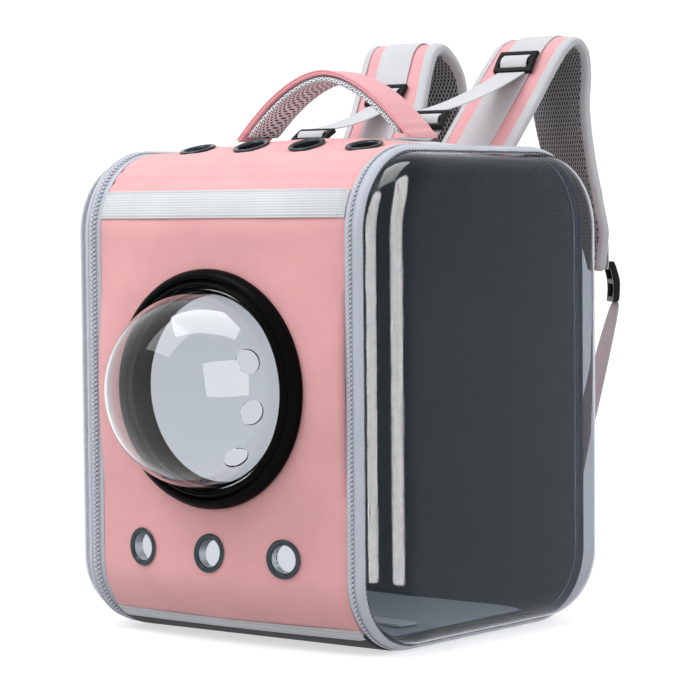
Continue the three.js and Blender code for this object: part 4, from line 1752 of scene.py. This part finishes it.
@dataclass
class BandTrim:
    """Webbing across the front, sewn down along both edges."""

    name: str
    node: str
    low: float
    high: float
    thick: float = 1.2
    rolled_edge: float = 1.5
    stitch_pitch: float = 3.6
    stitch_size: tuple[float, float] = (2.5, 0.55)
    stitch_inset: float = 1.6

    def place(self, across: Array, height: Array, level: Array) -> Array:
        """Points at levels over the trim's under face, for values of x and height.

        Args:
            across: Values of x.
            height: The heights.
            level: Levels, in millimetres.

        Returns:
            One point a row.
        """
        distance = BODY.distance_at(height, across)
        roll = self.rolled_edge * ease(-6.0, 0.0, np.abs(across) - BODY.panel_half)
        return BODY.on_panel(across, distance, level + BODY.gap - roll)

    def build(self) -> None:
        """Builds the webbing and its two rows of stitches."""
        half = BODY.panel_half - BODY.gap
        piece = flat_grid(self.name, (-half, self.low), (half, self.high), (3.0, 1.5))
        map_flat(piece, turned=True)
        apply(piece, "SOLIDIFY", thickness=self.thick, offset=1.0)
        wrap(piece, self.place)
        smooth(piece, 50)
        dressed(piece, WEBBING, "web", self.node)
        rows = []
        count = int(2 * half / self.stitch_pitch)
        for height in (self.low + self.stitch_inset, self.high - self.stitch_inset):
            row = beads("stitches", stitch(*self.stitch_size), count, self.stitch_pitch)
            x, y, z = points_of(row).T
            set_points(row, np.stack([y - half + 1.5, x + height, z + self.thick], axis=1))
            rows.append(row)
        stitches = joined(f"{self.name}_stitches", rows)
        wrap(stitches, self.place)
        dressed(stitches, THREAD, "web")


@dataclass
class CarryHandle:
    """The arched carry handle: a padded pink cover, a mesh underside and a patch under each foot."""

    span: float = 186.0
    rise: float = 54.5
    arch: float = 1.8
    width: float = 42.0
    thickness: float = 8.0
    cover: float = 4.5
    foot: float = 5.0
    bend: float = 1.2
    mesh_thickness: float = 3.0
    patch_start: float = 78.0
    patch_width: float = 46.0
    web: float = 1.2

    def ribbon(self, reach: float) -> Ribbon:
        """The arch along the cover's outer face, which runs out flat over the patches.

        Args:
            reach: How far from the middle it ends.

        Returns:
            The line.
        """
        half = self.span / 2
        depth = self.thickness + BODY.gap + self.mesh_thickness
        foot = math.atan(self.arch * self.rise / half)
        inner = np.array([half - depth * math.sin(foot)])
        patch_top = BODY.on_panel(inner, 0 * inner + BODY.top(0.0), 0 * inner + BODY.gap + self.web)[0, 2]
        level = patch_top + BODY.gap + depth * math.cos(foot)
        x = np.linspace(-reach, reach, 201)
        arch = level + self.rise * (1 - np.abs(x / half) ** self.arch)
        lying = self.web + 2 * BODY.gap + self.cover
        flat = BODY.on_panel(x, 0 * x + BODY.top(0.0), 0 * x + lying)[:, 2]
        height = self.bend * np.logaddexp(arch / self.bend, flat / self.bend)
        centre = np.stack([x, 0 * x, height], axis=1)
        out = np.stack([-np.gradient(height, x), 0 * x, 0 * x + 1], axis=1)
        out /= np.linalg.norm(out, axis=1)[:, None]
        wide = np.tile([0.0, 1.0, 0.0], (len(x), 1))
        return Ribbon(centre, wide, out, 0 * x + self.width / 2)

    def build(self) -> None:
        """Builds the handle's pieces."""
        ribbon = self.ribbon(self.span / 2 + self.foot)
        cover = Pad(-self.cover, 0.0, squareness=5.0, taper=3.0)

        def puckers(across: Array, along: Array) -> Array:
            """Creases at the feet and a low wave between them."""
            end = np.minimum(along, ribbon.length - along)
            crease = 0.9 * np.sin(along / 1.9 + 0.9 * np.sin(across / 6.0)) * ease(26.0, 14.0, end)
            return crease * ease(1.0, 8.0, end) + 0.35 * np.sin(along / 13.0)

        piece = cover.build("handle_cover", ribbon, puckers)
        dressed(piece, HANDLE_PINK, "pink", "carry_handle")
        rim = ribbon.centre - ribbon.wide * (self.width / 2 - 0.4)
        edge = Ribbon(rim, ribbon.wide, ribbon.out, 0 * ribbon.half + 0.9)
        piping = Pad(-1.2, 0.6, squareness=2.2, taper=1.0).build("handle_piping", edge)
        dressed(piping, HANDLE_PINK, "pink")
        arch = self.ribbon(0.97 * self.span / 2)
        narrow = Ribbon(arch.centre, arch.wide, arch.out, arch.half - 0.8)
        low = -self.thickness - BODY.gap - self.mesh_thickness
        under = Pad(low, -self.cover + 0.3, squareness=3.2, taper=9.0)
        piece = under.build("handle_mesh", narrow)
        dressed(piece, SHADE_LIFTED_MESH, "mesh", "handle_lining")
        for side in Side:
            self.patch(side)

    def patch(self, side: Side) -> None:
        """The webbing patch from a foot to the zip.

        Args:
            side: The side of the foot.
        """
        low, high = self.patch_start, BODY.panel_half - BODY.gap
        if side is Side.LEFT:
            low, high = -high, -low
        name = f"sewn_patch_{side.word}"
        start, end = BODY.top(-self.patch_width / 2), BODY.top(self.patch_width / 2)
        piece = flat_grid(name, (low, start), (high, end), 2.5)
        map_flat(piece, turned=True)
        apply(piece, "SOLIDIFY", thickness=self.web, offset=1.0)
        wrap(piece, lambda x, s, z: BODY.on_panel(x, s, z + BODY.gap))
        smooth(piece, 50)
        dressed(piece, STRAP_WEBBING, "web", f"handle_patch_{side.word}")


@dataclass
class LadderLock:
    """A moulded ladder lock: a flat frame with a slot on each side of its middle bar."""

    slot: float
    length: float
    thickness: float
    bar: float
    arch: float = 0.0

    def build(self, name: str) -> bpy.types.Object:
        """Moulds the lock flat at the origin, its slots across x.

        Args:
            name: The piece's name.

        Returns:
            The lock, in millimetres.
        """
        deselect()
        bpy.ops.mesh.primitive_grid_add(x_subdivisions=3, y_subdivisions=5, size=2.0)
        piece = named(name)
        half, end = self.slot / 2, self.length / 2
        columns = [-half - self.bar, -half, half, half + self.bar]
        rows = [-end, -end + self.bar, -self.bar / 2, self.bar / 2, end - self.bar, end]
        flat = points_of(piece)
        flat[:, 0] = [columns[round((x + 1) * 1.5)] for x in flat[:, 0]]
        flat[:, 1] = [rows[round((y + 1) * 2.5)] for y in flat[:, 1]]
        set_points(piece, flat)
        x, y, _ = np.abs([polygon.center for polygon in piece.data.polygons]).T
        delete_faces(piece, (x < half) & (y > self.bar / 2) & (y < end - self.bar))
        apply(piece, "SOLIDIFY", thickness=self.thickness, offset=0.0)
        limits = {"limit_method": "ANGLE", "angle_limit": math.radians(50)}
        apply(piece, "BEVEL", width=self.bar * 0.3, segments=3, **limits)
        edit(piece)
        bpy.ops.mesh.subdivide(number_cuts=1)
        bpy.ops.object.mode_set(mode="OBJECT")
        curved = points_of(piece)
        curved[:, 2] -= self.arch * (curved[:, 1] / end) ** 2
        set_points(piece, curved)
        smooth(piece, 35)
        return piece


def catmull(points: Array, shares: Array) -> Array:
    """Points of a centripetal Catmull-Rom curve through rows of points.

    Args:
        points: The rows that it passes.
        shares: Places along it, from 0 to 1, even from row to row.

    Returns:
        One point a row.
    """
    padded = np.vstack([2 * points[0] - points[1], points, 2 * points[-1] - points[-2]])
    place = np.clip(shares, 0, 1) * (len(points) - 1)
    start = np.minimum(place.astype(int), len(points) - 2)
    w = (place - start)[:, None]
    p0, p1, p2, p3 = (padded[start + i] for i in range(4))
    pairs = ((p0, p1), (p1, p2), (p2, p3))
    dt0, dt1, dt2 = (np.sqrt(np.linalg.norm(b - a, axis=1))[:, None] for a, b in pairs)
    t1 = ((p1 - p0) / dt0 - (p2 - p0) / (dt0 + dt1) + (p2 - p1) / dt1) * dt1
    t2 = ((p2 - p1) / dt1 - (p3 - p1) / (dt1 + dt2) + (p3 - p2) / dt2) * dt1
    return p1 + t1 * w + (-3 * p1 + 3 * p2 - 2 * t1 - t2) * w**2 + (2 * p1 - 2 * p2 + t1 + t2) * w**3


def line_ribbon(
    start: Vector, middle: Vector, end: Vector, wides: tuple[Vector, Vector], half: float, twist: float = 1.0
) -> Ribbon:
    """A ribbon on a simple curve between two points.

    Args:
        start: Where it starts.
        middle: The point that it bends towards.
        end: Where it ends.
        wides: Its width direction at the start and at the end.
        half: Half its width.
        twist: Under 1 it turns from the first width direction early, over 1 late.

    Returns:
        The ribbon, whose outward direction is its width direction turned round its line.
    """
    t = np.linspace(0, 1, 61)[:, None]
    a, b, c = (np.array(v) for v in (start, middle, end))
    centre = a * (1 - t) ** 2 + 2 * b * t * (1 - t) + c * t**2
    tangent = np.gradient(centre, axis=0)
    wide = np.array(wides[0]) * (1 - t**twist) + np.array(wides[1]) * t**twist
    wide /= np.linalg.norm(wide, axis=1)[:, None]
    out = np.cross(wide, tangent)
    out /= np.linalg.norm(out, axis=1)[:, None]
    return Ribbon(centre, wide, out, np.full(61, half))


@dataclass(frozen=True)
class Pull:
    """How a load lifter hangs.

    Attributes:
        lock_along: The strap lock's place, as a share of the strap's rows.
        tilt_degrees: The buckle's tilt over the top panel.
        shift: How far the buckle is pulled towards the middle.
        rise: How far it is pulled up.
    """

    lock_along: float
    tilt_degrees: float
    shift: float
    rise: float

    @property
    def tilt(self) -> float:
        """The buckle's tilt in radians."""
        return math.radians(self.tilt_degrees)


@dataclass
class ShoulderStrap:
    """One padded shoulder strap with its webbing, load lifter and lower adjuster."""

    side: Side
    thickness: float = 10.0
    span: float = 211.0
    reach: float = 78.0
    half_width: float = 40.0
    mesh_inset: float = 5.0
    mesh_swell: float = 0.9
    mesh_thickness: float = 1.0
    mesh_seam: float = 0.42
    mesh_seam_depth: float = 1.3
    mesh_seam_width: float = 2.2
    web_width: float = 38.0
    web: float = 1.2
    lifter_width: float = 32.0
    lifter_side: float = 72.0
    buckle_y: float = 52.0
    buckle_length: float = 20.0
    buckle_thickness: float = 5.0
    buckle_bar: float = 4.0
    buckle_overlap: float = 4.0
    anchor_length: float = 26.0
    lifter_sag: float = 7.0
    lock_length: float = 24.0
    lock_bar: float = 5.0
    lower_length: float = 38.0
    lower_width: float = 34.0
    lower_drop: float = 11.0
    lower_lift: float = 3.0
    lower_web: float = 25.0
    anchor_side: float = 118.0
    anchor_height: float = 42.0
    rows: tuple[tuple[float, float, float, float, float], ...] = (
        (-0.168, -0.009, 0.744, 1.0, 0.0),
        (-0.102, 0.066, 0.756, 1.025, 0.0),
        (0.002, 0.209, 0.821, 1.025, 0.0),
        (0.116, 0.384, 0.923, 1.0, 0.0),
        (0.182, 0.464, 0.974, 1.0, 0.0),
        (0.244, 0.488, 1.0, 1.0, 3.0),
        (0.31, 0.455, 1.013, 1.0, 6.0),
        (0.367, 0.36, 1.0, 1.0, 13.0),
        (0.377, 0.209, 1.0, 1.0, 18.0),
        (0.386, 0.019, 1.077, 0.975, 21.0),
        (0.41, -0.171, 1.192, 0.925, 25.0),
        (0.443, -0.346, 1.333, 0.775, 34.0),
        (0.438, -0.512, 1.423, 0.4, 46.0),
    )

    def ribbon(self) -> Ribbon:
        """The pad's middle line, from its base on the top panel to its tip.

        Returns:
            The line.
        """
        table = np.array(self.rows)
        points = np.stack(
            [
                table[:, 2] * self.reach,
                BODY.depth / 2 + table[:, 0] * self.span,
                BODY.height + table[:, 1] * self.span,
            ],
            axis=1,
        )
        t = np.linspace(0, 1, 241)
        centre = catmull(points, t)
        tangent = np.gradient(centre, axis=0)
        sign = self.side.value
        centre[:, 0] *= sign
        tangent[:, 0] *= sign
        steps = t * (len(table) - 1)
        turn = np.radians(np.interp(steps, range(len(table)), table[:, 4]))
        half = np.interp(steps, range(len(table)), table[:, 3]) * self.half_width
        wide = np.stack([sign * np.cos(turn), -np.sin(turn), 0 * turn], axis=1)
        out = np.cross(wide, tangent) * sign
        out /= np.linalg.norm(out, axis=1)[:, None]
        return Ribbon(centre, wide, out, half)

    def pad(self, ribbon: Ribbon) -> None:
        """The pink pad, the mesh on its inner face and the binding on both edges.

        Args:
            ribbon: The line that it follows.
        """
        word = self.side.word
        face = self.thickness / 2
        shape = Pad(-face, face, squareness=4.0, taper=7.0)

        def soft(across: Array, along: Array) -> Array:
            """A low wave."""
            return 0.5 * np.sin(along / 21.0 + across / 30.0)

        piece = shape.build(f"strap_cover_{word}", ribbon, soft)
        dressed(piece, STRAP_PINK, "pink", f"strap_pad_{word}")
        edges = [shape.edging(f"edging_{word}", ribbon, right) for right in (False, True)]
        dressed(joined(f"strap_edging_{word}", edges), STRAP_BINDING, "tape")
        self.mesh(ribbon, face)

    def mesh(self, ribbon: Ribbon, face: float) -> None:
        """The spacer mesh on the pad's inner face, pressed in by a cross seam.

        Args:
            ribbon: The line that it follows.
            face: The level of the pad's face.
        """
        half = self.half_width - self.mesh_inset
        name = f"strap_mesh_{self.side.word}"
        piece = flat_grid(name, (-half, 2.0), (half, ribbon.length - 2.0), 3.0)
        seam = ribbon.length * self.mesh_seam

        def place(across: Array, along: Array, level: Array) -> Array:
            """Lays the flat points in place."""
            inner = ribbon.half_at(along) - self.mesh_inset - 0.5
            x = np.clip(across, -inner, inner)
            low = face + 0.5 + self.mesh_swell * np.sqrt(np.clip(1 - (x / (inner + 3)) ** 4, 0, 1))
            low = low - self.mesh_seam_depth * np.exp(-(((along - seam) / self.mesh_seam_width) ** 2))
            return ribbon.point(x, along, -low)

        wrap(piece, place)
        merge(piece)
        if self.side is Side.RIGHT:
            flip(piece)
        apply(piece, "SOLIDIFY", thickness=self.mesh_thickness * MM, offset=-1.0)
        smooth(piece, 60)
        dressed(piece, DARK_MESH, "mesh")

    def lock(self, name: str, shape: LadderLock, at: Vector, across: Vector, out: Vector, node: str) -> None:
        """Sets a ladder lock and the stretch of webbing over its middle bar.

        Args:
            name: The new piece's name.
            shape: Its sizes.
            at: Its middle.
            across: The direction of its slots.
            out: Its outward direction.
            node: The CAD node that it replaces.
        """
        piece = shape.build(name)
        settle(piece, at, across, out)
        dressed(piece, SATIN_BLACK, "plastic", node)
        along = out.cross(across).normalized()
        reach = shape.length / 2 - shape.bar * 0.9
        ends = [at + along * sign * reach - out * 0.3 for sign in (-1, 1)]
        middle = at + out * (shape.thickness + 2.4)
        loop = line_ribbon(ends[0], middle, ends[1], (across, across), shape.slot / 2 - 0.8)
        self.webbing(f"{name}_web", loop)

    def webbing(self, name: str, line: Ribbon, *node: str) -> None:
        """Lays a strip of webbing along a line.

        Args:
            name: The new piece's name.
            line: The line, as wide as the strip.
            node: The CAD node that it replaces, if any.
        """
        half = float(line.half[0])
        low = -self.web / 2
        strip = web_strip(name, line, low, self.web, half, (0.0, line.length))
        dressed(strip, STRAP_WEBBING, "web", *node)

    def pull(self) -> Pull:
        """How this side's lifter hangs: the left lock has slid down, the right buckle is pulled up.

        Returns:
            Its values.
        """
        if self.side is Side.LEFT:
            return Pull(lock_along=0.186, tilt_degrees=32.0, shift=0.0, rise=0.0)
        return Pull(lock_along=0.245, tilt_degrees=50.0, shift=12.0, rise=8.0)

    def lifter(self) -> None:
        """The lock on the strap, the buckle over the top panel and the webbing between them."""
        word, sign = self.side.word, self.side.value
        pull = self.pull()
        at, wide, out = self.frame_at(pull.lock_along)
        shape = LadderLock(self.lifter_width, self.lock_length, thickness=5.0, bar=self.lock_bar, arch=1.2)
        lock_at = at + out * (self.thickness / 2 + 2 * BODY.gap + self.web + shape.thickness / 2)
        across = wide * sign
        self.lock(f"strap_lock_{word}", shape, lock_at, across, out, f"lifter_lock_{word}")

        x = sign * (self.lifter_side - pull.shift)
        half = self.lifter_width / 2
        along = Vector((0.0, math.cos(pull.tilt), math.sin(pull.tilt)))
        up = Vector((0.0, -math.sin(pull.tilt), math.cos(pull.tilt)))
        rest = 2 * BODY.gap + self.web + self.buckle_thickness / 2
        inner = np.array([x - sign * half])
        resting = BODY.top(self.buckle_y - self.buckle_overlap)
        seat = BODY.on_panel(inner, 0 * inner + resting, 0 * inner + rest)[0]
        seat = Vector((x, seat[1], seat[2] + pull.rise)) + along * self.buckle_length / 2
        buckle = LadderLock(
            self.lifter_width, self.buckle_length, self.buckle_thickness, bar=self.buckle_bar, arch=0.8
        )
        self.lock(f"panel_buckle_{word}", buckle, seat, Vector((1, 0, 0)), up, f"lifter_buckle_{word}")
        self.anchor(x, pull)

        line_start = seat + along * (self.buckle_length / 2 + 2 * BODY.gap)
        edge = out.cross(across).normalized()
        if edge.z > 0:
            edge.negate()
        line_end = lock_at + edge * (self.lock_length / 2 + 2 * BODY.gap)
        sag = (line_start + line_end) / 2 - Vector((0, 0, self.lifter_sag))
        flat = Vector((1, 0, 0))
        line = line_ribbon(line_start, sag, line_end, (flat, flat), half)
        self.webbing(f"lifter_strip_{word}", line, f"lifter_web_{word}")

    def anchor(self, x: float, pull: Pull) -> None:
        """The tab of webbing on the top panel that rises under the buckle's lower corner.

        Args:
            x: The middle of the tab.
            pull: How this side's lifter hangs.
        """
        word, half = self.side.word, self.lifter_width / 2
        start, end = BODY.top(self.buckle_y - self.anchor_length), BODY.top(self.buckle_y)
        thick = self.buckle_thickness / 2
        reach = self.anchor_length - self.buckle_overlap + thick * math.sin(pull.tilt)
        rise = pull.rise + thick * (1 - math.cos(pull.tilt))
        piece = flat_grid(f"anchor_web_{word}", (x - half, start), (x + half, end), 2.0)
        apply(piece, "SOLIDIFY", thickness=self.web, offset=1.0)

        def place(across: Array, along: Array, level: Array) -> Array:
            """Lays the flat points in place."""
            lift = rise * ((along - start) / reach) ** 2
            return BODY.on_panel(across, along, level + BODY.gap + lift)

        wrap(piece, place)
        smooth(piece, 50)
        dressed(piece, STRAP_WEBBING, "web", f"lifter_anchor_{word}")

    def frame_at(self, share: float) -> tuple[Vector, Vector, Vector]:
        """The middle line's point and directions at a share of its rows.

        Args:
            share: The share, from 0 to 1.

        Returns:
            The point, the width direction and the outward direction.
        """
        ribbon = self.ribbon()
        row = round(share * (len(ribbon.centre) - 1))
        return Vector(ribbon.centre[row]), Vector(ribbon.wide[row]), Vector(ribbon.out[row])

    def lower(self) -> None:
        """The lock at the strap's tip and the webbing down to the base corner."""
        word, sign = self.side.word, self.side.value
        tip, wide, out = self.frame_at(1.0)
        across = wide * sign
        down = out.cross(across).normalized()
        if down.z > 0:
            down.negate()
        slot = self.lower_width - 2 * self.lock_bar
        shape = LadderLock(slot, self.lower_length, thickness=6.0, bar=self.lock_bar, arch=3.0)
        level = self.thickness / 2 + BODY.gap + self.web + self.lower_lift + shape.thickness / 2
        at = tip + out * level + down * self.lower_drop
        self.lock(f"tip_lock_{word}", shape, at, across, out, f"lower_lock_{word}")
        start = at + down * (self.lower_length / 2 + 2 * BODY.gap)
        foot = np.array([sign * self.anchor_side])
        distance = BODY.loop - BODY.legs[-1] - BODY.front(self.anchor_height)
        end = Vector(BODY.on_panel(foot, 0 * foot + distance, 0 * foot + BODY.gap + self.web / 2)[0])
        middle = (start + end) / 2
        line = line_ribbon(start, middle, end, (across, Vector((1, 0, 0))), self.lower_web / 2, 0.45)
        self.webbing(f"lower_strip_{word}", line, f"lower_web_{word}")

    def build(self) -> None:
        """Builds the strap's pieces."""
        ribbon = self.ribbon()
        self.pad(ribbon)
        word = self.side.word
        low, span = self.thickness / 2 + 0.4, (2.0, ribbon.length - 1.0)
        strip = web_strip(f"strap_strip_{word}", ribbon, low, self.web, self.web_width / 2, span)
        dressed(strip, STRAP_WEBBING, "web", f"strap_web_{word}")
        self.lifter()
        self.lower()


@dataclass
class Interior:
    """The floor mat and the safety leash that lies on it."""

    mat_size: tuple[float, float, float] = (262.0, 186.0, 8.0)
    edge: float = 2.5
    floor: float = 8.1

    def mat(self) -> None:
        """The plush mat, crowned and pulled in at its edges."""
        wide, deep, high = (value / 2 for value in self.mat_size)
        piece = flat_grid("plush_mat", (-wide, -deep), (wide, deep), 4.0)
        map_flat(piece)
        apply(piece, "SOLIDIFY", thickness=2 * high, offset=-1.0)

        def place(across: Array, along: Array, level: Array) -> Array:
            """Lays the flat points in place."""
            full = (1 - np.abs(across / wide) ** 12) * (1 - np.abs(along / deep) ** 12)
            crown = (2 * high - self.edge) * np.sqrt(np.clip(full, 0, 1))
            top = self.edge + crown + cloth_waves(across, along, 0.4) * full
            return np.stack([across, along, self.floor + np.where(level > -1, top, 0.0)], axis=1)

        wrap(piece, place)
        smooth(piece, 60)
        dressed(piece, MAT_CLOTH, "mat", "floor_mat")

    def build(self) -> None:
        """Builds the mat and finishes the leash's solids."""
        self.mat()
        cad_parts["leash_tab"].data.materials[0] = STRAP_WEBBING.material()
        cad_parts["leash_clip"].data.materials[0] = SATIN_BLACK.material()


@dataclass
class Studio:
    """A round pale bowl, soft lights and the camera at the photograph's angle."""

    azimuth: float = 38.25
    elevation: float = 2.93
    roll: float = -0.5
    target: tuple[float, float, float] = (0.0, -8.4, 207.9)
    offset: tuple[float, float] = (15.8, 35.21)
    distance: float = 2447.5
    lens: float = 142.2
    glow: float = 0.58
    sky_light: tuple[float, float] = (0.5, 1.05)

    def bowl(self) -> None:
        """A pale floor that rises all round into a wall."""
        floor, bend, wall = 4200.0, 1400.0, 4500.0
        turns = np.linspace(0, math.pi / 2, 13)
        corner = [(floor + bend * math.sin(a), bend - bend * math.cos(a)) for a in turns]
        inner, outside = floor + bend, floor + bend + 10
        outer = [(inner, wall), (outside, wall), (outside, -10), (1.0, -10.0), (1.0, 0.0)]
        piece = spun("floor_bowl", corner + outer, 96)
        piece.data.transform(Matrix.Scale(MM, 4))
        smooth(piece, 60)
        paper = Finish("White paper", "#c6c6c8", 0.9, mottle=0.0, glow=self.glow).material()
        piece.data.materials.append(paper)
        self.unlit(piece)
        deselect()
        bpy.ops.mesh.primitive_circle_add(vertices=96, radius=1.2, fill_type="NGON", location=(0, 0, -0.0002))
        centre = named("floor_middle")
        centre.data.materials.append(paper)
        self.unlit(centre)

    def unlit(self, piece: bpy.types.Object) -> None:
        """Hides a stage piece from diffuse and shadow rays, and so leaves the soft light on the cloth to the
        sky alone.

        Args:
            piece: The mesh.
        """
        piece.visible_diffuse = False
        piece.visible_shadow = False

    def sky(self) -> None:
        """An even pale light that is weaker from below."""
        world = bpy.data.worlds.new("studio")
        bpy.context.scene.world = world
        world.use_nodes = True
        tree = world.node_tree
        parts = add_node(tree, "SeparateXYZ", {0: add_node(tree, "TexCoord").outputs["Generated"]})
        low, high = self.sky_light
        level = add_node(tree, "MapRange", {0: parts.outputs[2], 1: -0.5, 2: 0.4, 3: low, 4: high})
        tree.nodes["Background"].inputs[0].default_value = (1.0, 1.0, 1.0, 1.0)
        tree.links.new(level.outputs[0], tree.nodes["Background"].inputs[1])

    def light(
        self,
        name: str,
        azimuth: float,
        elevation: float,
        distance: float,
        size: tuple[float, float],
        radiance: float,
        aim: tuple[float, float, float] = (0.0, 0.0, 0.22),
    ) -> bpy.types.Object:
        """A soft box that looks at a point, which is the carrier's middle unless another is given.

        Args:
            name: The light's name.
            azimuth: Its direction from the carrier, in degrees, 0 at the front and 90 at the right.
            elevation: Its height over the horizon, in degrees.
            distance: Its distance in metres.
            size: Its width and height in metres.
            radiance: How bright its face is, where the pale paper is about 1.
            aim: The point that it looks at, in metres.

        Returns:
            The light's object.
        """
        a, e = math.radians(azimuth), math.radians(elevation)
        lamp = bpy.data.lights.new(name, "AREA")
        lamp.shape = "RECTANGLE"
        lamp.size, lamp.size_y = size
        lamp.energy = radiance * math.pi * size[0] * size[1]
        holder = bpy.data.objects.new(name, lamp)
        bpy.context.scene.collection.objects.link(holder)
        back = Vector((math.sin(a) * math.cos(e), -math.cos(a) * math.cos(e), math.sin(e)))
        holder.location = Vector(aim) + back * distance
        holder.rotation_euler = back.to_track_quat("Z", "Y").to_euler()
        return holder

    def linked(self, light: bpy.types.Object, pieces: tuple[str, ...]) -> None:
        """Lets a light fall on some pieces alone and hides it from the camera.

        Args:
            light: The light's object.
            pieces: The names of the pieces that mirror it.
        """
        receivers = bpy.data.collections.new(f"{light.name} receivers")
        for piece in pieces:
            receivers.objects.link(bpy.data.objects[piece])
        light.light_linking.receiver_collection = receivers
        light.visible_transmission = False
        light.visible_camera = False

    def glints(self) -> None:
        """The strip and box lights that only the clear pieces mirror."""
        trays = tuple(f"clear_tray_{side.word}" for side in Side)
        front = self.light("front glint", 0.0, 0.0, 0.5, (0.36, 0.9), 86.0, aim=(0.152, 0.0, 0.45))
        aside = self.light("side glint", 90.0, 0.0, 0.525, (0.21, 0.9), 82.0, aim=(0.0, -0.12, 0.45))
        above = self.light("top glint", 30.0, 82.0, 2.2, (1.6, 1.6), 30.0)
        for strip in (front, aside, above):
            self.linked(strip, trays)
        self.linked(self.light("dome side", 64.0, 14.0, 2.6, (2.4, 1.9), 12.0), ("clear_dome",))
        self.linked(self.light("dome top", 38.0, 84.0, 2.0, (2.2, 1.3), 13.0), ("clear_dome",))

    def camera(self) -> None:
        """The camera, as far and as long as the photograph's."""
        a, e, r = (math.radians(v) for v in (self.azimuth, self.elevation, self.roll))
        back = Vector((math.sin(a) * math.cos(e), -math.cos(a) * math.cos(e), math.sin(e)))
        right = Vector((math.cos(a), math.sin(a), 0.0))
        up = back.cross(right)
        aim = Vector(self.target) + right * self.offset[0] + up * self.offset[1]
        x = right * math.cos(r) + up * math.sin(r)
        y = up * math.cos(r) - right * math.sin(r)
        lens = bpy.data.cameras.new("camera")
        lens.lens = self.lens
        lens.sensor_width = 36.0
        lens.clip_end = 50.0
        holder = bpy.data.objects.new("camera", lens)
        bpy.context.scene.collection.objects.link(holder)
        turn = Matrix((x, y, back)).transposed().to_4x4()
        holder.matrix_world = Matrix.Translation((aim + back * self.distance) * MM) @ turn
        bpy.context.scene.camera = holder

    def build(self) -> None:
        """Builds the studio."""
        self.bowl()
        self.sky()
        self.light("key box", -25.0, 50.0, 1.8, (1.0, 1.0), 4.2)
        self.light("top box", 20.0, 84.0, 2.2, (1.6, 1.6), 0.7)
        self.camera()
        bpy.context.scene.view_settings.view_transform = "Standard"


def main() -> None:
    """Builds every sub-assembly in order."""
    logging.basicConfig(level=logging.INFO, format="%(message)s")
    studio = Studio()
    studio.build()
    PaddedShell().build()
    Eyelets().build()
    for side in Side:
        SideWindow(side).build()
    Bubble().build()
    BandTrim("front_webbing", "front_web", low=361.0, high=384.0).build()
    BandTrim("base_webbing", "base_web", low=13.5, high=22.0).build()
    CarryHandle().build()
    for side in Side:
        ShoulderStrap(side).build()
    Interior().build()
    studio.glints()


if __name__ == "__main__":
    main()
